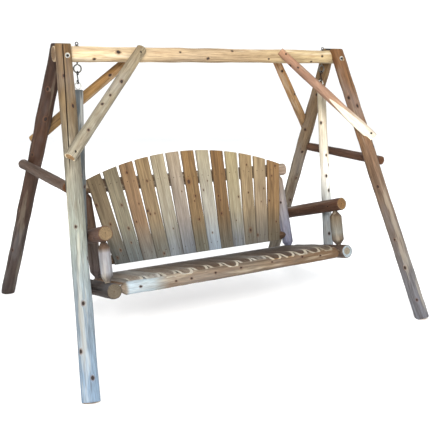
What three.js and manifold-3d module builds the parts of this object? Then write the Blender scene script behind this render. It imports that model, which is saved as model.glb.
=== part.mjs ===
// Porch swing: a log bench hung from a free-standing A-frame of peeled logs.
// Millimetres. X runs along the bench, -Y is its front, Z is up; the origin is on the floor at the centre.
import * as THREE from "three";
import { mergeVertices } from "three/addons/utils/BufferGeometryUtils.js";
import Module from "manifold-3d";

const wasm = await Module();
wasm.setup();

// ---------- driving dimensions ----------
const GAP = 0.4; // left between pieces that touch
const SIDES = 18; // facets round a log
const RINGS = 4; // stations along a log

// A-frame
const LEG = { topX: 1029.15, topY: 34.14, topZ: 1838, footX: 1225, footY: 921, rTop: 46.5, rFoot: 49 };
const FOOT_LEVEL = 54; // width of the level flat at the heel of a foot
const BEAM = { z: 1776, r: 46, half: 1078 };
const BRACE = { topX: 551, lowX: 1096, lowY: 376, rLow: 36 };
const FRONT_BRACE = {
  topY: 51, topZ: 1790, lowZ: 1250, rTopLeft: 33, rTopRight: 28, pastTop: 36, pastLow: 46,
};
const REAR_BRACE = {
  topY: 52, topZ: 1766, lowZ: 1236, rTopLeft: 30, rTopRight: 28, pastTop: 20, pastLow: 38,
};
const CROSS = { outX: 1180, outY: 440, outZ: 1056, inX: 1145, inY: 396, inZ: 1052, r: 32 };
const LEG_BOLT = { x: 1028, z: 1770, r: 5, washerR: 15, seatY: 106 };
const LAG_RECESS = { r: 8, depth: 10 };

// hanging hardware
const PIVOT_X = 934;
const PIVOT_Y = 0;
const EYE = { wire: 4.5, ring: 23.5, z: 1667 }; // z of the wire the hook hangs on
const TOP_LOOP = { wire: 2.8, ring: 8.5, rise: 15 }; // the eye bolt's loop over the beam
const SCREW_EYE = { wire: 3.5, ring: 19.5, z: 1607.5, shank: 60, poleGap: 4 }; // z of the held wire
const HOOK = { wire: 3.2, loop: 12 };
const SHANK_R = 5;

// seat: s runs back along the side rails and n stands square to them, from the front rail's axis
const SEAT = { y: -415, z: 399, tilt: 14.7 };
const SIDE_RAIL = { x: 901, r: 48, front: -43, back: 576 };
const FRONT_RAIL_R = 41;
const REAR_RAIL_R = 38;
const REAR_RAIL_S = 536.5;
const RAIL_SHOULDER = 818; // half length of the seat rails before they taper to their tenons
const TENON_R = 18;
const SEAT_SLATS = 14;
const SEAT_PITCH = 114;
const SEAT_SLAT = { width: 112, depth: 42, top: 57, back: 566, nose: 50, tip: -33, noseR: 133 };

// back: u runs up the recline and w stands forward of it, from the rear rail's axis
const RECLINE = 20.7;
const UPRIGHT = { x: 800, r: 42 };
const TOP_RAIL = { u: 665, r: 47.5, half: 875 };
const LOW_RAIL = { u: 143, w: 14, r: 33 };
const BACK_SLATS = 13;
const BACK_SLAT = { width: 103, thick: 20, face: 68, bottom: 105, pitchLow: 105, pitchTop: 124 };
const ARCH = { crown: 859.5, radius: 2136 };

// arms and hanger poles
const ARM_POST = { x: 903, s: 50, low: 49, high: 297, rLeft: 37, rRight: 44 };
const ARMREST = { frontX: 910, frontY: -352, frontZ: 743, backX: 876, backY: 262, backZ: 541, r: 46 };
const POLE = { lowX: 991.4, lowY: -147.3, lowZ: 292, rTop: 31, rLow: 37.5 };

// ---------- working tools ----------
const V = (x, y, z) => new THREE.Vector3(x, y, z);
const rad = THREE.MathUtils.degToRad;

// A closed three.js geometry as a solid that can be cut and joined.
function solid(geometry) {
  const bare = geometry.clone();
  bare.deleteAttribute("normal");
  bare.deleteAttribute("uv");
  const merged = mergeVertices(bare, 1e-4);
  const index = merged.index.array;
  const kept = [];
  for (let i = 0; i < index.length; i += 3) {
    const [a, b, c] = [index[i], index[i + 1], index[i + 2]];
    if (a !== b && b !== c && c !== a) kept.push(a, b, c);
  }
  const vertProperties = new Float32Array(merged.attributes.position.array);
  const made = new wasm.Manifold(
    new wasm.Mesh({ numProp: 3, vertProperties, triVerts: new Uint32Array(kept) }),
  );
  if (made.volume() > 0) return made;
  for (let i = 0; i < kept.length; i += 3) [kept[i], kept[i + 1]] = [kept[i + 1], kept[i]];
  return new wasm.Manifold(
    new wasm.Mesh({ numProp: 3, vertProperties, triVerts: new Uint32Array(kept) }),
  );
}

// Turns a geometry made along +Z so that it starts at a and points to b.
function aim(geometry, a, b) {
  const turn = new THREE.Quaternion().setFromUnitVectors(V(0, 0, 1), b.clone().sub(a).normalize());
  return geometry.applyQuaternion(turn).translate(a.x, a.y, a.z);
}

// A turned shape from [radius, height] pairs, standing on +Z.
function turned(profile, sides = SIDES) {
  const points = profile.map(([r, h]) => new THREE.Vector2(r, h));
  return new THREE.LatheGeometry(points, sides).rotateX(Math.PI / 2);
}

// A peeled log from a to b: tapered, gently swollen along its length, with eased ends.
function log(a, b, rA, rB, { grow = 0, swell = 1.2, phase = 0, ease = 4 } = {}) {
  const length = a.distanceTo(b);
  const radius = (t) => rA + (rB - rA) * t + swell * Math.sin(7 * t + phase) + grow;
  const profile = [[0, 0], [radius(0) - ease, 0]];
  for (let i = 0; i <= RINGS; i++) {
    const h = THREE.MathUtils.clamp((length * i) / RINGS, ease, length - ease);
    profile.push([radius(h / length), h]);
  }
  profile.push([radius(1) - ease, length], [0, length]);
  return solid(aim(turned(profile), a, b));
}

// A plain round rod from a to b.
const rod = (a, b, r, sides = 12) =>
  solid(aim(turned([[0, 0], [r, 0], [r, a.distanceTo(b)], [0, a.distanceTo(b)]], sides), a, b));

// A log with a tapered shoulder and a round tenon at each end; a and b are the tenons' ends.
function tenoned(a, b, r, shoulder, { grow = 0, tenon = 26, taper = 27 } = {}) {
  const length = a.distanceTo(b);
  const body = length / 2 - shoulder;
  const half = [
    [TENON_R, 0],
    [TENON_R, tenon],
    [TENON_R + 3, tenon],
    [r - 4, body - taper * 0.15],
    [r, body + 3],
  ];
  const down = half.map(([x, h]) => [x, length - h]).reverse();
  const profile = [...half, ...down].map(([x, h]) => [x + grow, h]);
  return solid(aim(turned([[0, 0], ...profile, [0, length]]), a, b));
}

// The part of space on one side of a plane, large enough to trim any log.
function halfSpace(point, outward) {
  const size = 6000;
  const box = new THREE.BoxGeometry(size, size, size).translate(0, 0, size / 2);
  return solid(aim(box, point, point.clone().add(outward)));
}

const joinAll = (solids) => solids.reduce((all, s) => all.add(s));
const cutAll = (from, cutters) => cutters.reduce((left, c) => left.subtract(c), from);

const swing = new THREE.Group();
swing.name = "porch_swing";
const wood = (colour) => new THREE.MeshStandardMaterial({ color: colour, roughness: 0.8, flatShading: true });
const steel = new THREE.MeshStandardMaterial({ color: 0x8c9093, roughness: 0.4, metalness: 0.9 });
const black = new THREE.MeshStandardMaterial({ color: 0x202224, roughness: 0.5, metalness: 0.8 });
const CEDAR = 0xb59a78;

function addPart(name, body, material) {
  const made = body.getMesh();
  const geometry = new THREE.BufferGeometry()
    .setAttribute("position", new THREE.BufferAttribute(made.vertProperties, 3))
    .setIndex(new THREE.BufferAttribute(made.triVerts, 1));
  const mesh = new THREE.Mesh(geometry, material);
  mesh.name = name;
  swing.add(mesh);
}

const sideName = (sx) => (sx < 0 ? "left" : "right");
const endName = (sy) => (sy < 0 ? "front" : "rear");
const CORNERS = [[-1, -1], [1, -1], [-1, 1], [1, 1]];

// ---------- A-frame ----------
function legBody(sx, sy, grow = 0) {
  const top = V(sx * LEG.topX, sy * LEG.topY, LEG.topZ);
  const foot = V(sx * LEG.footX, sy * LEG.footY, 0);
  const past = foot.clone().addScaledVector(foot.clone().sub(top).normalize(), 60);
  return log(past, top, LEG.rFoot, LEG.rTop, { grow, phase: 1 });
}

const beamAxis = (grow = 0) =>
  log(V(-BEAM.half, 0, BEAM.z), V(BEAM.half, 0, BEAM.z), BEAM.r, BEAM.r, { grow, swell: 0.8, ease: 3 });

const braceOf = (sy) => ({ ...BRACE, ...(sy < 0 ? FRONT_BRACE : REAR_BRACE) });
const braceTopR = (sx, sy) => (sx < 0 ? braceOf(sy).rTopLeft : braceOf(sy).rTopRight);
const braceTop = (sx, sy) => V(sx * BRACE.topX, sy * braceOf(sy).topY, braceOf(sy).topZ);
const braceLow = (sx, sy) => V(sx * BRACE.lowX, sy * BRACE.lowY, braceOf(sy).lowZ);

function braceBody(sx, sy) {
  const { rLow, pastTop, pastLow } = braceOf(sy);
  const along = braceTop(sx, sy).sub(braceLow(sx, sy)).normalize();
  const a = braceLow(sx, sy).addScaledVector(along, -pastLow);
  const b = braceTop(sx, sy).addScaledVector(along, pastTop);
  return log(a, b, rLow, braceTopR(sx, sy), { phase: 2 + sx, ease: 5 });
}

const legBolts = new Map();
for (const sx of [-1, 1]) {
  const at = (y) => V(sx * LEG_BOLT.x, y, LEG_BOLT.z);
  const seat = LEG_BOLT.seatY;
  const hexHead = rod(at(-seat - 3), at(-seat - 11), 9, 6);
  const hexNut = rod(at(seat + 3), at(seat + 11), 9, 6);
  const washers = [-1, 1].map((sy) => rod(at(sy * seat), at(sy * (seat + 3.2)), LEG_BOLT.washerR, 20));
  const shank = rod(at(-seat - 4), at(seat + 14), LEG_BOLT.r);
  legBolts.set(sx, {
    body: joinAll([shank, hexHead, hexNut, ...washers]),
    bore: rod(at(-400), at(400), LEG_BOLT.r + GAP),
    seats: [-1, 1].map((sy) => rod(at(sy * (seat - GAP)), at(sy * 300), LEG_BOLT.washerR + 3, 20)),
  });
}

for (const [sx, sy] of CORNERS) {
  const name = "leg_" + endName(sy) + "_" + sideName(sx);
  const bolt = legBolts.get(sx);
  // Feet are sawn square to the log, then trimmed level at the heel.
  const top = V(sx * LEG.topX, sy * LEG.topY, LEG.topZ);
  const foot = V(sx * LEG.footX, sy * LEG.footY, 0);
  const down = foot.clone().sub(top).normalize();
  const heelY = sy * (LEG.footY - LEG.rFoot / -down.z + FOOT_LEVEL);
  const squareCut = halfSpace(V(foot.x, heelY, 0), down);
  const leg = cutAll(legBody(sx, sy), [
    halfSpace(V(0, 0, 0), V(0, 0, -1)),
    squareCut,
    halfSpace(V(0, sy * 1.5, 0), V(0, -sy, 0)),
    halfSpace(V(0, 0, LEG.topZ), V(0, 0, 1)),
    beamAxis(GAP),
    bolt.bore,
    bolt.seats[sy < 0 ? 0 : 1],
  ]);
  addPart(name, leg, wood(CEDAR));
}

const eyeX = (sx) => sx * PIVOT_X;
const beam = cutAll(beamAxis(), [
  legBolts.get(-1).bore,
  legBolts.get(1).bore,
  ...[-1, 1].map((sx) => rod(V(eyeX(sx), PIVOT_Y, 1600), V(eyeX(sx), PIVOT_Y, 1900), SHANK_R + GAP)),
]);
addPart("top_beam", beam, wood(0xd9c49a));

for (const [sx, sy] of CORNERS) {
  const outwards = V(0, sy, 0.15).normalize();
  const recesses = [
    [braceTop(sx, sy), braceTopR(sx, sy)],
    [braceLow(sx, sy), BRACE.rLow],
  ].map(([p, r]) => {
    const floor = p.clone().addScaledVector(outwards, r - LAG_RECESS.depth);
    return rod(floor, p.clone().addScaledVector(outwards, 90), LAG_RECESS.r);
  });
  const brace = cutAll(braceBody(sx, sy), [beamAxis(GAP), legBody(sx, sy, GAP), ...recesses]);
  addPart("brace_" + endName(sy) + "_" + sideName(sx), brace, wood(0xa98a66));
}

// Each cross rail laps the outside of one leg and butts the back of the other; the right one is the
// left one turned half round.
for (const sx of [-1, 1]) {
  const out = V(sx * CROSS.outX, -sx * CROSS.outY, CROSS.outZ);
  const inn = V(sx * CROSS.inX, sx * CROSS.inY, CROSS.inZ);
  const rail = cutAll(log(inn, out, CROSS.r, CROSS.r, { phase: 3 }), [
    legBody(sx, 1, GAP),
    legBody(sx, -1, GAP),
  ]);
  const pieces = rail.decompose().sort((p, q) => q.volume() - p.volume());
  addPart("cross_rail_" + sideName(sx), pieces[0], wood(0x6f5640));
}

for (const sx of [-1, 1]) addPart("leg_bolt_" + sideName(sx), legBolts.get(sx).body, steel);

// ---------- hanging hardware ----------
const torus = (ring, wire) => new THREE.TorusGeometry(ring, wire, 8, 20).rotateX(Math.PI / 2);

const poleUp = (sx) =>
  V(eyeX(sx), PIVOT_Y, SCREW_EYE.z).sub(V(sx * POLE.lowX, POLE.lowY, POLE.lowZ)).normalize();

for (const sx of [-1, 1]) {
  const x = eyeX(sx);
  const beamTop = BEAM.z + BEAM.r;
  const ringZ = EYE.z + EYE.ring;
  const eyeBolt = joinAll([
    solid(torus(EYE.ring, EYE.wire).translate(x, PIVOT_Y, ringZ)),
    rod(V(x, PIVOT_Y, ringZ + EYE.ring), V(x, PIVOT_Y, beamTop + 9), SHANK_R),
    rod(V(x, PIVOT_Y, beamTop + 1), V(x, PIVOT_Y, beamTop + 3.5), 14, 16),
    rod(V(x, PIVOT_Y, beamTop + 3), V(x, PIVOT_Y, beamTop + 8), 8, 8),
    solid(torus(TOP_LOOP.ring, TOP_LOOP.wire).translate(x, PIVOT_Y, beamTop + TOP_LOOP.rise)),
  ]);
  addPart("eye_bolt_" + sideName(sx), eyeBolt, steel);
}

// An S hook of round wire: each loop is closed round one eye, and the stem crosses between them.
function hookPath(x) {
  const inner = HOOK.loop - HOOK.wire;
  const upper = EYE.z - (inner - EYE.wire - GAP);
  const lower = SCREW_EYE.z + (inner - SCREW_EYE.wire - GAP);
  const points = [];
  for (let a = 235; a >= 0; a -= 235 / 10)
    points.push(V(x, PIVOT_Y + HOOK.loop * Math.cos(rad(a)), upper + HOOK.loop * Math.sin(rad(a))));
  for (let a = 180; a <= 415; a += 235 / 10)
    points.push(V(x, PIVOT_Y + HOOK.loop * Math.cos(rad(a)), lower + HOOK.loop * Math.sin(rad(a))));
  return new THREE.CatmullRomCurve3(points);
}

for (const sx of [-1, 1]) {
  const wire = new THREE.Shape().absarc(0, 0, HOOK.wire, 0, 2 * Math.PI);
  const options = { extrudePath: hookPath(eyeX(sx)), steps: 34, curveSegments: 4, bevelEnabled: false };
  addPart("s_hook_" + sideName(sx), solid(new THREE.ExtrudeGeometry(wire, options)), black);
}

const screwEyes = new Map();
for (const sx of [-1, 1]) {
  const up = poleUp(sx);
  const pivot = V(eyeX(sx), PIVOT_Y, SCREW_EYE.z);
  const centre = pivot.clone().addScaledVector(up, -SCREW_EYE.ring);
  const tilt = new THREE.Quaternion().setFromUnitVectors(V(0, 0, 1), up);
  const ring = new THREE.TorusGeometry(SCREW_EYE.ring, SCREW_EYE.wire, 8, 20).rotateX(Math.PI / 2);
  ring.applyQuaternion(tilt).translate(centre.x, centre.y, centre.z);
  const neck = centre.clone().addScaledVector(up, -SCREW_EYE.ring);
  const end = neck.clone().addScaledVector(up, -SCREW_EYE.shank);
  const poleTop = neck.clone().addScaledVector(up, -SCREW_EYE.poleGap);
  screwEyes.set(sx, { poleTop, bore: rod(end.clone().addScaledVector(up, -GAP), neck, 4 + GAP) });
  addPart("screw_eye_" + sideName(sx), solid(ring).add(rod(end, neck, 4)), steel);
}

// ---------- swing frames of reference ----------
const seatS = V(0, Math.cos(rad(SEAT.tilt)), -Math.sin(rad(SEAT.tilt)));
const seatN = V(0, Math.sin(rad(SEAT.tilt)), Math.cos(rad(SEAT.tilt)));
const onSeat = (x, s, n) => V(x, SEAT.y, SEAT.z).addScaledVector(seatS, s).addScaledVector(seatN, n);
const rearAxis = onSeat(0, REAR_RAIL_S, 0);
const backU = V(0, Math.sin(rad(RECLINE)), Math.cos(rad(RECLINE)));
const backW = V(0, -Math.cos(rad(RECLINE)), Math.sin(rad(RECLINE)));
const onBack = (x, u, w) => V(x, rearAxis.y, rearAxis.z).addScaledVector(backU, u).addScaledVector(backW, w);

// A geometry drawn in x, y, z axes placed in the frame whose axes are X, a and b.
function inFrame(geometry, origin, a, b) {
  const basis = new THREE.Matrix4().makeBasis(V(1, 0, 0), a, b).setPosition(origin);
  return geometry.applyMatrix4(basis);
}

// ---------- bench frame ----------
const TENON_END = 885;
const crossLog = (place, r, shoulder, end, grow = 0) =>
  tenoned(place(-end), place(end), r, shoulder, { grow, tenon: end - shoulder - 27 });
const frontRail = (grow) => crossLog((x) => onSeat(x, 0, 0), FRONT_RAIL_R, RAIL_SHOULDER, TENON_END, grow);
const rearRail = (grow) =>
  crossLog((x) => onSeat(x, REAR_RAIL_S, 0), REAR_RAIL_R, RAIL_SHOULDER, TENON_END, grow);
const topRail = (grow) =>
  log(onBack(-TOP_RAIL.half, TOP_RAIL.u, 0), onBack(TOP_RAIL.half, TOP_RAIL.u, 0), TOP_RAIL.r, TOP_RAIL.r, {
    grow,
    swell: 0,
  });
const sideRail = (sx, grow) =>
  log(onSeat(sx * SIDE_RAIL.x, SIDE_RAIL.front, 0), onSeat(sx * SIDE_RAIL.x, SIDE_RAIL.back, 0), SIDE_RAIL.r,
    SIDE_RAIL.r, { grow, swell: 0.6 });
const upright = (sx, grow = 0) =>
  tenoned(onBack(sx * UPRIGHT.x, 18, 0), onBack(sx * UPRIGHT.x, TOP_RAIL.u - 14, 0), UPRIGHT.r,
    (TOP_RAIL.u - 32) / 2 - 62, { grow, tenon: 30, taper: 32 });
const lowRail = (grow) =>
  crossLog((x) => onBack(x, LOW_RAIL.u, LOW_RAIL.w), LOW_RAIL.r, 738, 783, grow);
function armPost(sx, grow) {
  const { x, s, low, high, rLeft, rRight } = ARM_POST;
  const options = { grow, tenon: 30, taper: 34 };
  const r = sx < 0 ? rLeft : rRight;
  return tenoned(onSeat(sx * x, s, low - 26), onSeat(sx * x, s, high + 24), r, 88, options);
}

function armrest(sx, grow) {
  const front = V(sx * ARMREST.frontX, ARMREST.frontY, ARMREST.frontZ);
  const back = V(sx * ARMREST.backX, ARMREST.backY, ARMREST.backZ);
  return log(front, back, ARMREST.r, ARMREST.r - 1, { grow, swell: 0.6 });
}

function pole(sx, grow) {
  const low = V(sx * POLE.lowX, POLE.lowY, POLE.lowZ);
  return log(low, screwEyes.get(sx).poleTop, POLE.rLow, POLE.rTop, { grow, phase: sx });
}

for (const sx of [-1, 1]) {
  const side = sideName(sx);
  const rail = cutAll(sideRail(sx), [frontRail(GAP), rearRail(GAP), armPost(sx, GAP)]);
  addPart("side_rail_" + side, rail, wood(0x7d6750));
  addPart("arm_post_" + side, armPost(sx), wood(0xb7a394));
  addPart("armrest_" + side, cutAll(armrest(sx), [armPost(sx, GAP), upright(sx, GAP)]), wood(0x6b4e38));
  addPart("upright_" + side, cutAll(upright(sx), [lowRail(GAP)]), wood(0x8e8794));
  const hanger = cutAll(pole(sx), [armrest(sx, GAP), sideRail(sx, GAP), screwEyes.get(sx).bore]);
  addPart("hanger_pole_" + side, hanger, wood(0xd8d4cc));
}
addPart("front_rail", frontRail(), wood(0xb59a86));
addPart("rear_rail", cutAll(rearRail(), [upright(-1, GAP), upright(1, GAP)]), wood(0x8a7058));
addPart("upper_back_rail", cutAll(topRail(), [upright(-1, GAP), upright(1, GAP)]), wood(0xc9b49a));
addPart("lower_back_rail", lowRail(), wood(0x8a7058));

// ---------- back slats: boards fanned from the seat up to an arch ----------
for (let i = 0; i < BACK_SLATS; i++) {
  const k = i - (BACK_SLATS - 1) / 2;
  const low = k * BACK_SLAT.pitchLow;
  const high = k * BACK_SLAT.pitchTop;
  const half = BACK_SLAT.width / 2;
  const arch = (x) => ARCH.crown - ARCH.radius + Math.sqrt(ARCH.radius ** 2 - x ** 2);
  const outline = new THREE.Shape();
  outline.moveTo(low - half, BACK_SLAT.bottom);
  outline.lineTo(low + half, BACK_SLAT.bottom);
  for (let j = 0; j <= 4; j++) {
    const x = high + half - (j * BACK_SLAT.width) / 4;
    outline.lineTo(x, arch(x));
  }
  outline.closePath();
  const board = new THREE.ExtrudeGeometry(outline, { depth: BACK_SLAT.thick, bevelEnabled: false });
  board.translate(0, 0, BACK_SLAT.face - BACK_SLAT.thick);
  const name = "back_slat_" + String(i + 1).padStart(2, "0");
  addPart(name, solid(inFrame(board, onBack(0, 0, 0), backU, backW)), wood(0xb08d66));
}

// ---------- seat slats: half logs, flat side up, coped over both rails, with a rounded nose ----------
function seatSlat(x) {
  const { width, depth, top, back, nose, tip, noseR } = SEAT_SLAT;
  const roundR = (width ** 2 / 4 + depth ** 2) / (2 * depth);
  const spread = Math.asin(width / 2 / roundR);
  const section = new THREE.Shape();
  section.moveTo(-width / 2, top);
  for (let j = 1; j <= 10; j++) {
    const a = -spread + (2 * spread * j) / 10;
    section.lineTo(roundR * Math.sin(a), top + roundR - depth - roundR * Math.cos(a));
  }
  section.closePath();
  const halfLog = new THREE.ExtrudeGeometry(section, { depth: back - tip, bevelEnabled: false });
  // The section's x, y and depth become X, n and s.
  halfLog.applyMatrix4(new THREE.Matrix4().makeBasis(V(1, 0, 0), V(0, 0, 1), V(0, 1, 0)));
  halfLog.translate(x, tip, 0);
  const side = new THREE.Shape();
  side.moveTo(back + 1, top + 1);
  for (let j = 0; j <= 8; j++) {
    const s = nose + ((tip - 1 - nose) * j) / 8;
    const n = top - noseR + Math.sqrt(noseR ** 2 - (s - nose) ** 2);
    side.lineTo(s, j === 0 ? top + 1 : n);
    if (j === 0) side.lineTo(s, top);
  }
  side.lineTo(tip - 1, -60);
  side.lineTo(back + 1, -60);
  side.closePath();
  const profile = new THREE.ExtrudeGeometry(side, { depth: width + 2, bevelEnabled: false });
  // The profile's x, y and depth become s, n and X.
  profile.applyMatrix4(new THREE.Matrix4().makeBasis(V(0, 1, 0), V(0, 0, 1), V(1, 0, 0)));
  profile.translate(x - width / 2 - 1, 0, 0);
  const place = (g) => solid(inFrame(g, onSeat(0, 0, 0), seatS, seatN));
  return place(halfLog).intersect(place(profile));
}

for (let i = 0; i < SEAT_SLATS; i++) {
  const x = (i - (SEAT_SLATS - 1) / 2) * SEAT_PITCH;
  const cutters = [frontRail(GAP), rearRail(GAP)];
  if (i === 0) cutters.push(upright(-1, 2));
  if (i === SEAT_SLATS - 1) cutters.push(upright(1, 2));
  const pieces = cutAll(seatSlat(x), cutters).decompose().sort((p, q) => q.volume() - p.volume());
  addPart("seat_slat_" + String(i + 1).padStart(2, "0"), pieces[0], wood(0x75583f));
}

export default swing;
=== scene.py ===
"""Looks of the porch swing: peeled cedar logs, half-log seat, fanned back boards and steel hardware.

Lengths are millimetres in this file and become metres when a mesh is made.  X runs along the bench,
-Y is its front and Z is up, as in the CAD frame.
"""
import math
import zlib
from types import SimpleNamespace

import bmesh
import bpy
import numpy as np
from mathutils import Matrix, Vector


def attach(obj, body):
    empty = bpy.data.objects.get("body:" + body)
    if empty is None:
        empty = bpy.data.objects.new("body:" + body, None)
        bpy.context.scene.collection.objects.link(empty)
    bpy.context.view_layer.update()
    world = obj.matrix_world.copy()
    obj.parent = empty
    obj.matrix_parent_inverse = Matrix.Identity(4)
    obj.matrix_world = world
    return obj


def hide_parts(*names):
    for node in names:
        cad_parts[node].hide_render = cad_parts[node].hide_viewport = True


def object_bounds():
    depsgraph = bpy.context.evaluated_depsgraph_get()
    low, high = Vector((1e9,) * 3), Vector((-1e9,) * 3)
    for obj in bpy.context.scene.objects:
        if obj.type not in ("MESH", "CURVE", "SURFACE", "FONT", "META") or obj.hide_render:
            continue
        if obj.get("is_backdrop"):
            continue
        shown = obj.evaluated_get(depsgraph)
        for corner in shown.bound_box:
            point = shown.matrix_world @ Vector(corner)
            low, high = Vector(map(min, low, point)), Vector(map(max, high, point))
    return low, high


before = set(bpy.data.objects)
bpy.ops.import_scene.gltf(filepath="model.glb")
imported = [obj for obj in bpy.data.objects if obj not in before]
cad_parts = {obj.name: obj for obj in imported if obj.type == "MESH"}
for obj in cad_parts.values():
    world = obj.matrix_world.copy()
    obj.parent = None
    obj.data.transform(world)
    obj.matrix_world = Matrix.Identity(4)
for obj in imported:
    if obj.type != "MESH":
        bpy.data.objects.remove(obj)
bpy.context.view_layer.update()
MM = 0.001
GAP = 0.4
NOTCH = 0.8  # room round a log where another is coped to it

# ---------------------------------------------------------------- dimensions, as in the CAD source
LEG = dict(top_x=1029.15, top_y=34.14, top_z=1838, foot_x=1225, foot_y=921, r_top=46.5, r_foot=49)
FOOT_LEVEL = 54
BEAM = dict(z=1776, r=46, half=1078)
BRACE = dict(top_x=551, low_x=1096, low_y=376, r_low=36)
FRONT_BRACE = dict(top_y=51, top_z=1790, low_z=1250, r_top={-1: 33, 1: 28}, past_top=36, past_low=46)
REAR_BRACE = dict(top_y=52, top_z=1766, low_z=1236, r_top={-1: 30, 1: 28}, past_top=20, past_low=38)
CROSS = dict(out_x=1180, out_y=440, out_z=1056, in_x=1145, in_y=396, in_z=1052, r=32)
LEG_BOLT = dict(x=1028, z=1770, r=5, washer_r=15, seat_y=106)
LAG_R, LAG_DEPTH = 8, 10
PIVOT_X = 934
EYE = dict(wire=4.5, ring=23.5, z=1667)
SCREW_EYE = dict(wire=3.5, ring=19.5, z=1607.5, shank=60, pole_gap=4)
TOP_LOOP = dict(wire=2.8, ring=8.5, rise=15)
HOOK = dict(wire=3.2, loop=12)
SEAT_Y, SEAT_Z, SEAT_TILT = -415, 399, math.radians(14.7)
SIDE_RAIL = dict(x=901, r=48, front=-43, back=576)
FRONT_RAIL_R, REAR_RAIL_R, REAR_RAIL_S = 41, 38, 536.5
RAIL_SHOULDER, TENON_R, TENON_END = 818, 18, 885
SEAT_SLATS, SEAT_PITCH = 14, 114
SLAT = dict(width=112, depth=42, top=57, back=566, nose=50, tip=-33, nose_r=133)
RECLINE = math.radians(20.7)
UPRIGHT_X, UPRIGHT_R = 800, 42
TOP_RAIL = dict(u=665, r=47.5, half=875)
LOW_RAIL = dict(u=143, w=14, r=33, shoulder=738, end=783)
BOARDS = 13
BOARD = dict(width=103, thick=20, face=68, bottom=105, pitch_low=105, pitch_top=124)
ARCH_CROWN, ARCH_R = 859.5, 2136
ARM_POST = dict(x=903, s=50, low=49, high=297, r={-1: 37, 1: 44})
ARMREST = dict(front=(910, -352, 743), back=(876, 262, 541), r=46)
POLE = dict(low=(991.4, -147.3, 292), r_top=31, r_low=37.5)


def vec(*xyz):
    return np.array(xyz, float)


def unit(v):
    return v / np.linalg.norm(v)


SEAT_S = vec(0, math.cos(SEAT_TILT), -math.sin(SEAT_TILT))
SEAT_N = vec(0, math.sin(SEAT_TILT), math.cos(SEAT_TILT))
BACK_U = vec(0, math.sin(RECLINE), math.cos(RECLINE))
BACK_W = vec(0, -math.cos(RECLINE), math.sin(RECLINE))


def on_seat(x, s, n):
    return vec(x, SEAT_Y, SEAT_Z) + s * SEAT_S + n * SEAT_N


def on_back(x, u, w):
    return on_seat(0, REAR_RAIL_S, 0) * vec(0, 1, 1) + vec(x, 0, 0) + u * BACK_U + w * BACK_W


# ---------------------------------------------------------------- small tools
DARK_SHARE, PALE_SHARE = 0.6, 0.92


def surface(colours):
    """Display colours of 0 to 1 as surface colours; middle tones take in less of the light than pale ones."""
    c = np.where(colours <= 0.04045, colours / 12.92, ((colours + 0.055) / 1.055) ** 2.4)
    bright = c @ np.array([0.2126, 0.7152, 0.0722])
    t = np.clip((bright - 0.45) / 0.4, 0, 1)
    return c * (DARK_SHARE + (PALE_SHARE - DARK_SHARE) * t * t * (3 - 2 * t))[..., None]


def linear(r, g, b):
    """A display colour of 0 to 255 as the surface colour that shaders take."""
    return surface(np.array([[r, g, b]]) / 255.0)[0]


def smooth(x, low, high):
    t = np.clip((x - low) / (high - low), 0, 1)
    return t * t * (3 - 2 * t)


def rng_of(name):
    return np.random.default_rng(zlib.crc32(name.encode()))


def waves(rng, count, turns, length, amplitude):
    """A smooth random relief over angle and length: a sum of cosines that closes round the log."""
    m = rng.integers(turns[0], turns[1] + 1, count)
    k = rng.normal(0, 2 * math.pi / length, count)
    phase = rng.uniform(0, 2 * math.pi, count)
    a = amplitude * rng.uniform(0.4, 1, count) / math.sqrt(count)
    return lambda th, z: sum(a[i] * np.cos(m[i] * th + k[i] * z + phase[i]) for i in range(count))


class Mesh:
    """Vertices, faces and material numbers of one piece, collected part by part."""

    def __init__(self):
        self.vertices, self.faces, self.slots, self.count = [], [], [], 0

    def add(self, vertices, faces, slots=0):
        vertices = np.asarray(vertices, float).reshape(-1, 3)
        self.vertices.append(vertices)
        self.faces += [tuple(int(i) + self.count for i in f) for f in faces]
        self.slots += list(slots) if hasattr(slots, "__len__") else [slots] * len(faces)
        self.count += len(vertices)
        return self

    def make(self, name, materials):
        mesh = bpy.data.meshes.new(name)
        mesh.from_pydata(np.concatenate(self.vertices) * MM, [], self.faces)
        mesh.polygons.foreach_set("material_index", self.slots)
        for material in materials:
            mesh.materials.append(material)
        obj = bpy.data.objects.new(name, mesh)
        bpy.context.scene.collection.objects.link(obj)
        return obj


def quads(rows, sides, loop=False):
    """Faces that join each ring of points to the next, and the last ring to the first in a loop."""
    pairs = [(i, (i + 1) % rows) for i in range(rows if loop else rows - 1)]
    return [(i * sides + j, i * sides + (j + 1) % sides, m * sides + (j + 1) % sides, m * sides + j)
            for i, m in pairs for j in range(sides)]


def caps(rows, sides):
    """Flat faces that close the first and the last ring."""
    return [tuple(range(sides - 1, -1, -1)), tuple((rows - 1) * sides + j for j in range(sides))]


def circle(sides):
    """Angles of points spread evenly round a turn."""
    return np.linspace(0, 2 * math.pi, sides, endpoint=False)


def positions(mesh):
    co = np.zeros(len(mesh.vertices) * 3, np.float32)
    mesh.vertices.foreach_get("co", co)
    return co.reshape(-1, 3).astype(float)


def cut(obj, cutters):
    """Takes the cutters out of obj; the cut faces get obj's second material."""
    for cutter in cutters:
        step = obj.modifiers.new("cut", "BOOLEAN")
        step.operation, step.solver, step.object = "DIFFERENCE", "MANIFOLD", cutter
        cutter.hide_render = True
    bpy.context.view_layer.update()
    graph = bpy.context.evaluated_depsgraph_get()
    made = bpy.data.meshes.new_from_object(obj.evaluated_get(graph))
    obj.modifiers.clear()
    old, obj.data = obj.data, made
    bpy.data.meshes.remove(old)
    for cutter in cutters:
        bpy.data.objects.remove(cutter)
    return obj


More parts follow.
